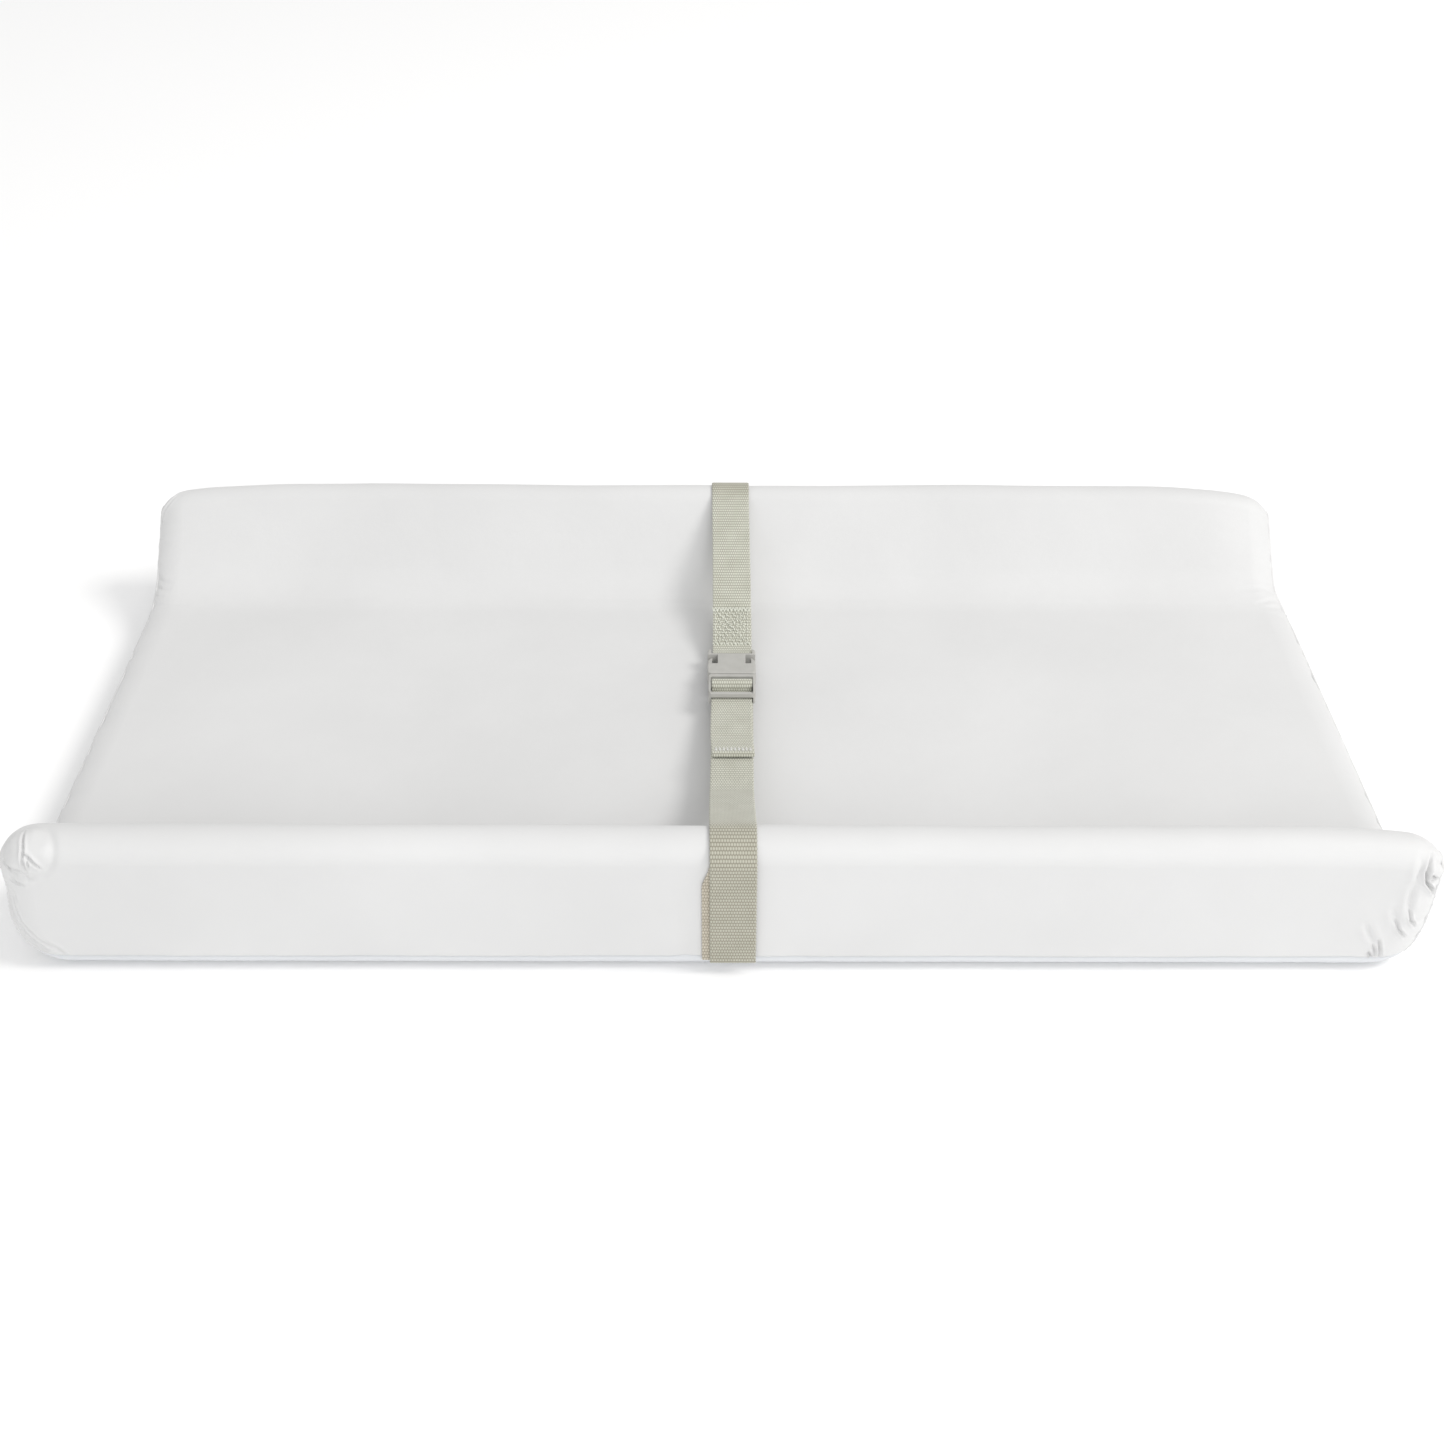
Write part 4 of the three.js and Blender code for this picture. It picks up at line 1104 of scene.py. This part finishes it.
def tubes(name, paths, radius, sides=6):
    """Round threads or wires along lists of points, as one mesh. Every path has as many points."""
    paths = np.asarray(paths, float)
    count, length, _ = paths.shape
    ahead = np.gradient(paths, axis=1)
    ahead /= np.maximum(np.linalg.norm(ahead, axis=2, keepdims=True), 1e-12)
    helper = np.where(np.abs(ahead[..., 2:]) > 0.9, [1.0, 0, 0], [0, 0, 1.0])
    one = np.cross(ahead, helper)
    one /= np.linalg.norm(one, axis=2, keepdims=True)
    two = np.cross(ahead, one)
    turn = np.linspace(0, 2 * math.pi, sides, endpoint=False)
    taper = np.ones(length)
    taper[[0, -1]] = 0.35
    ring = one[:, :, None] * np.cos(turn)[:, None] + two[:, :, None] * np.sin(turn)[:, None]
    points = (paths[:, :, None] + ring * radius * taper[None, :, None, None]).reshape(-1, 3)
    index = numbered(count, length, sides)
    closed = np.pad(index, ((0, 0), (0, 0), (0, 1)), mode="wrap")
    faces = [closed[:, :-1, :-1], closed[:, 1:, :-1], closed[:, 1:, 1:], closed[:, :-1, 1:]]
    faces = np.stack(faces, -1).reshape(-1, 4)
    caps = np.vstack([index[:, 0], index[:, -1, ::-1]])
    one = faces[: (length - 1) * sides]
    if ((points[one].mean(1) - paths[0].mean(0)) * face_vectors(points, one)).sum() < 0:
        faces, caps = faces[:, ::-1], caps[:, ::-1]
    return new_object(name, points, faces.tolist() + caps.tolist())


def stitch(a, b, rise, place):
    """One stitch from a to b on a flat spot, dipping into the cloth at both ends."""
    a, b = np.array(a), np.array(b)
    share = np.linspace(0, 1, 7)
    bow = np.sin(np.pi * share) ** 0.5 * rise - 0.25 * rise
    return [place(*(a + (b - a) * k), h) for k, h in zip(share, bow)]


STITCH_GAP = 0.26  # share of the pitch between a stitch and each of its ends


def stitch_row(a, b, pitch, rise, place):
    a, b = np.array(a), np.array(b)
    count = max(int(round(math.hypot(*(b - a)) / pitch)), 1)
    ends = [a + (b - a) * k / count for k in range(count + 1)]
    gap = (b - a) / count * STITCH_GAP
    return [stitch(p + gap, q - gap, rise, place) for p, q in zip(ends, ends[1:])]


BOX = (10.6, 14.0, 24.5)  # half width, half length and middle along the strap, in mm


def box_stitching():
    half_x, half_y, middle = BOX
    level = FOLD_LEVEL + WEB_T / 2 + 0.02 * MM

    def place(x, along, rise):
        return (STRAP_X + x * MM, *on_rear_strap(along * MM, level + rise * MM))

    low, high = middle - half_y, middle + half_y
    corners = [(-half_x, low), (half_x, low), (half_x, high), (-half_x, high)]
    rows = []
    for a, b in zip(corners, corners[1:] + corners[:1]):
        rows += stitch_row(a, b, 2.9, 0.8, place)
    rows += stitch_row(corners[0], corners[2], 3.1, 0.9, place)
    rows += stitch_row(corners[1], corners[3], 3.1, 1.0, place)
    for k in range(11):
        x = -11.6 + k * 2.32
        rows.append(stitch((x - 1.1, 40.8), (x + 0.05, 36.8), 1.0, place))
        rows.append(stitch((x + 0.05, 36.8), (x + 1.15, 40.8), 0.8, place))
        rows.append(stitch((x - 0.8, low + 1.4), (x + 0.7, low - 1.2), 0.8, place))
    for line in range(9):
        for k in range(8):
            x, along = -8.6 + 2.3 * k + 0.6 * (line % 2), low + 3 + 2.75 * line
            slant = 1.3 if (k + line) % 2 else -1.3
            rows.append(stitch((x, along), (x + 1.1, along + slant), 0.8, place))
    finished(tubes("box_stitching", rows, 0.38 * MM), "rear_strap", "thread", THREAD, "box_stitch")


def hem_stitching():
    level = TAIL_FLAT + TAIL_LIFT + WEB_T / MM / 2

    def place(x, y, rise):
        at = from_buckle(y * MM, (level + rise) * MM)
        return (STRAP_X + x * MM + float(tail_sway(np.array([at]))[0]), *at)

    rows = []
    for row in (TAIL_END + 4.2, TAIL_END + 2.2):
        rows += stitch_row((-11.4, row), (11.4, row), 2.4, 0.6, place)
    finished(tubes("hem_stitching", rows, 0.36 * MM), "tail", "thread", WHITE_THREAD, "hem_stitch")


# ---- zipper and label ----


def zipper():
    low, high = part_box("zipper_coil")
    middle_z, base = (low.z + high.z) / 2, low.x
    pitch = 1.5 * MM
    across = np.linspace(-2.1, 0.75, 9)
    bow = np.sin(np.pi * (across + 2.1) / 2.85)
    loops = []
    for k in range(int((high.y - low.y) / pitch)):
        side = -1 if k % 2 else 1
        y = low.y + (k + 0.5) * pitch + 0.35 * MM * bow
        x = base + (0.55 + 0.62 * bow**0.7) * MM
        loops.append(np.column_stack([x, y, middle_z + side * across * MM]))
    coil = tubes("zipper_coil_loops", loops, 0.5 * MM, 8)
    finished(coil, "root", "zipper_coil", COIL, "zipper_coil")
    low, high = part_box("zipper_tape")
    y, z = np.meshgrid(np.linspace(low.y, high.y, 180), np.linspace(low.z, high.z, 22), indexing="ij")
    wave = 0.12 * MM * noise(y / MM, z / MM, 14.0, 41)
    cord = 0.25 * MM * hill(np.abs(z - middle_z) / MM - 2.9, 0.5)
    grid = np.stack([high.x - 0.35 * MM + wave + cord, y, z], -1)
    tape = thick_grid("zipper_tape_cloth", grid, 0.4 * MM, outward=(1, 0, 0))
    finished(tape, "root", "zipper_tape", TAPE, "zipper_tape")

    def place(along, off, rise):
        return (high.x - 0.2 * MM + rise * MM, along * MM, middle_z + off * MM)

    rows = []
    for off in (-4.0, 4.0):
        rows += stitch_row((low.y / MM + 1, off), (high.y / MM - 1, off), 2.8, 0.3, place)
    finished(tubes("zipper_stitching", rows, 0.16 * MM), "root", "zipper_tape", WHITE_THREAD)


def care_label():
    low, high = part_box("care_label")
    x, z = np.meshgrid(np.linspace(low.x, high.x, 60), np.linspace(low.z, high.z, 40), indexing="ij")
    free = smoothstep(high.z - z, 0, high.z - low.z)
    lift = 0.35 * MM + 1.6 * MM * free + 0.5 * MM * free * np.sin((x - low.x) / 0.0075)
    grid = np.stack([x, high.y + lift, z], -1)
    label = thick_grid("care_label_tape", grid, 0.3 * MM, outward=(0, 1, 0))
    finished(label, "root", "label_tape", LABEL, "care_label")

    def place(along, off, rise):
        return (along * MM, high.y + (0.25 + rise) * MM, high.z - 1.6 * MM + off * MM)

    row = stitch_row((low.x / MM + 1, 0), (high.x / MM - 1, 0), 2.6, 0.4, place)
    finished(tubes("care_label_stitching", row, 0.2 * MM), "root", "thread", WHITE_THREAD)


# ---- moulded and cast parts ----


def rounded(name, voxel, passes, material):
    """Rounds a rigid part's edges the way a moulding or a casting comes out."""
    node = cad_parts[name]
    remesh = node.modifiers.new("rounding", "REMESH")
    remesh.mode = "VOXEL"
    remesh.voxel_size = voxel * 1
    remesh.use_smooth_shade = True
    smooth = node.modifiers.new("softening", "SMOOTH")
    smooth.factor = 0.5
    smooth.iterations = passes
    node.data.materials.clear()
    node.data.materials.append(material)


def rigid_parts():
    for name in ("buckle_socket", "buckle_plug", "plug_arm_left", "plug_arm_right"):
        rounded(name, 0.22 * MM, 4, PLASTIC)
    for name in ("zipper_slider", "zipper_pull", "zipper_stop_rear", "zipper_stop_front"):
        rounded(name, 0.16 * MM, 3, METAL)


# ---- camera, light and floor ----


CAMERA_AT = (MIDDLE_X, -0.962, 0.730)
LENS = 46.5
PITCH, YAW, ROLL = 53.7, -0.15, 0.2  # degrees; a pitch of 0 looks straight down
LIGHTS_AIM = (0, 0, 0.05)
SKY_STRENGTH = 0.74
FLOOR_REACH = 6
FLOOR_TONE = (0.96, 0.96, 0.96, 1)


def camera():
    data = bpy.data.cameras.new("camera")
    data.sensor_width = 36
    data.lens = LENS
    made = bpy.data.objects.new("camera", data)
    bpy.context.scene.collection.objects.link(made)
    made.location = CAMERA_AT
    pitch, yaw, roll = (math.radians(angle) for angle in (PITCH, YAW, ROLL))
    turn = Matrix.Rotation(yaw, 3, "Z") @ Matrix.Rotation(pitch, 3, "X") @ Matrix.Rotation(roll, 3, "Z")
    made.rotation_euler = turn.to_euler()
    bpy.context.scene.camera = made


def area_light(name, location, size, power, colour):
    data = bpy.data.lights.new(name, "AREA")
    data.shape = "DISK"
    data.size = size
    data.energy = power
    data.color = colour
    made = bpy.data.objects.new(name, data)
    made.location = location
    aim = Vector(LIGHTS_AIM) - Vector(location)
    made.rotation_euler = aim.to_track_quat("-Z", "Y").to_euler()
    bpy.context.scene.collection.objects.link(made)


def studio():
    world = bpy.data.worlds.new("studio")
    world.use_nodes = True
    background = world.node_tree.nodes["Background"]
    background.inputs["Color"].default_value = (1, 1, 1, 1)
    background.inputs["Strength"].default_value = SKY_STRENGTH
    bpy.context.scene.world = world
    bpy.context.scene.view_settings.view_transform = "Standard"
    area_light("key", (3.7, -0.6, 4.2), 2.3, 138, (1, 0.985, 0.965))
    area_light("fill", (0.6, -3.6, 2.2), 2.4, 53, (0.985, 0.99, 1))
    corners = np.array([(-1, -1, 0), (1, -1, 0), (1, 1, 0), (-1, 1, 0)]) * FLOOR_REACH
    floor = new_object("floor", corners, [(0, 1, 2, 3)])
    paint = Nodes("floor", Roughness=0.9, Specular_IOR_Level=0.1, Base_Color=FLOOR_TONE)
    floor.data.materials.append(paint.material)
    floor.location.z = -0.4 * MM  # the cover's underside rests just above it


camera()
studio()
foam()
cover_top()
cover_bottom()
cover_end(-1, "cover_left_end", "cover_end_left")
cover_end(1, "cover_right_end", "cover_end_right")
end_welt(-1, "welt_left", "end_welt_left")
end_welt(1, "welt_right", "end_welt_right")
straps()
box_stitching()
hem_stitching()
zipper()
care_label()
rigid_parts()
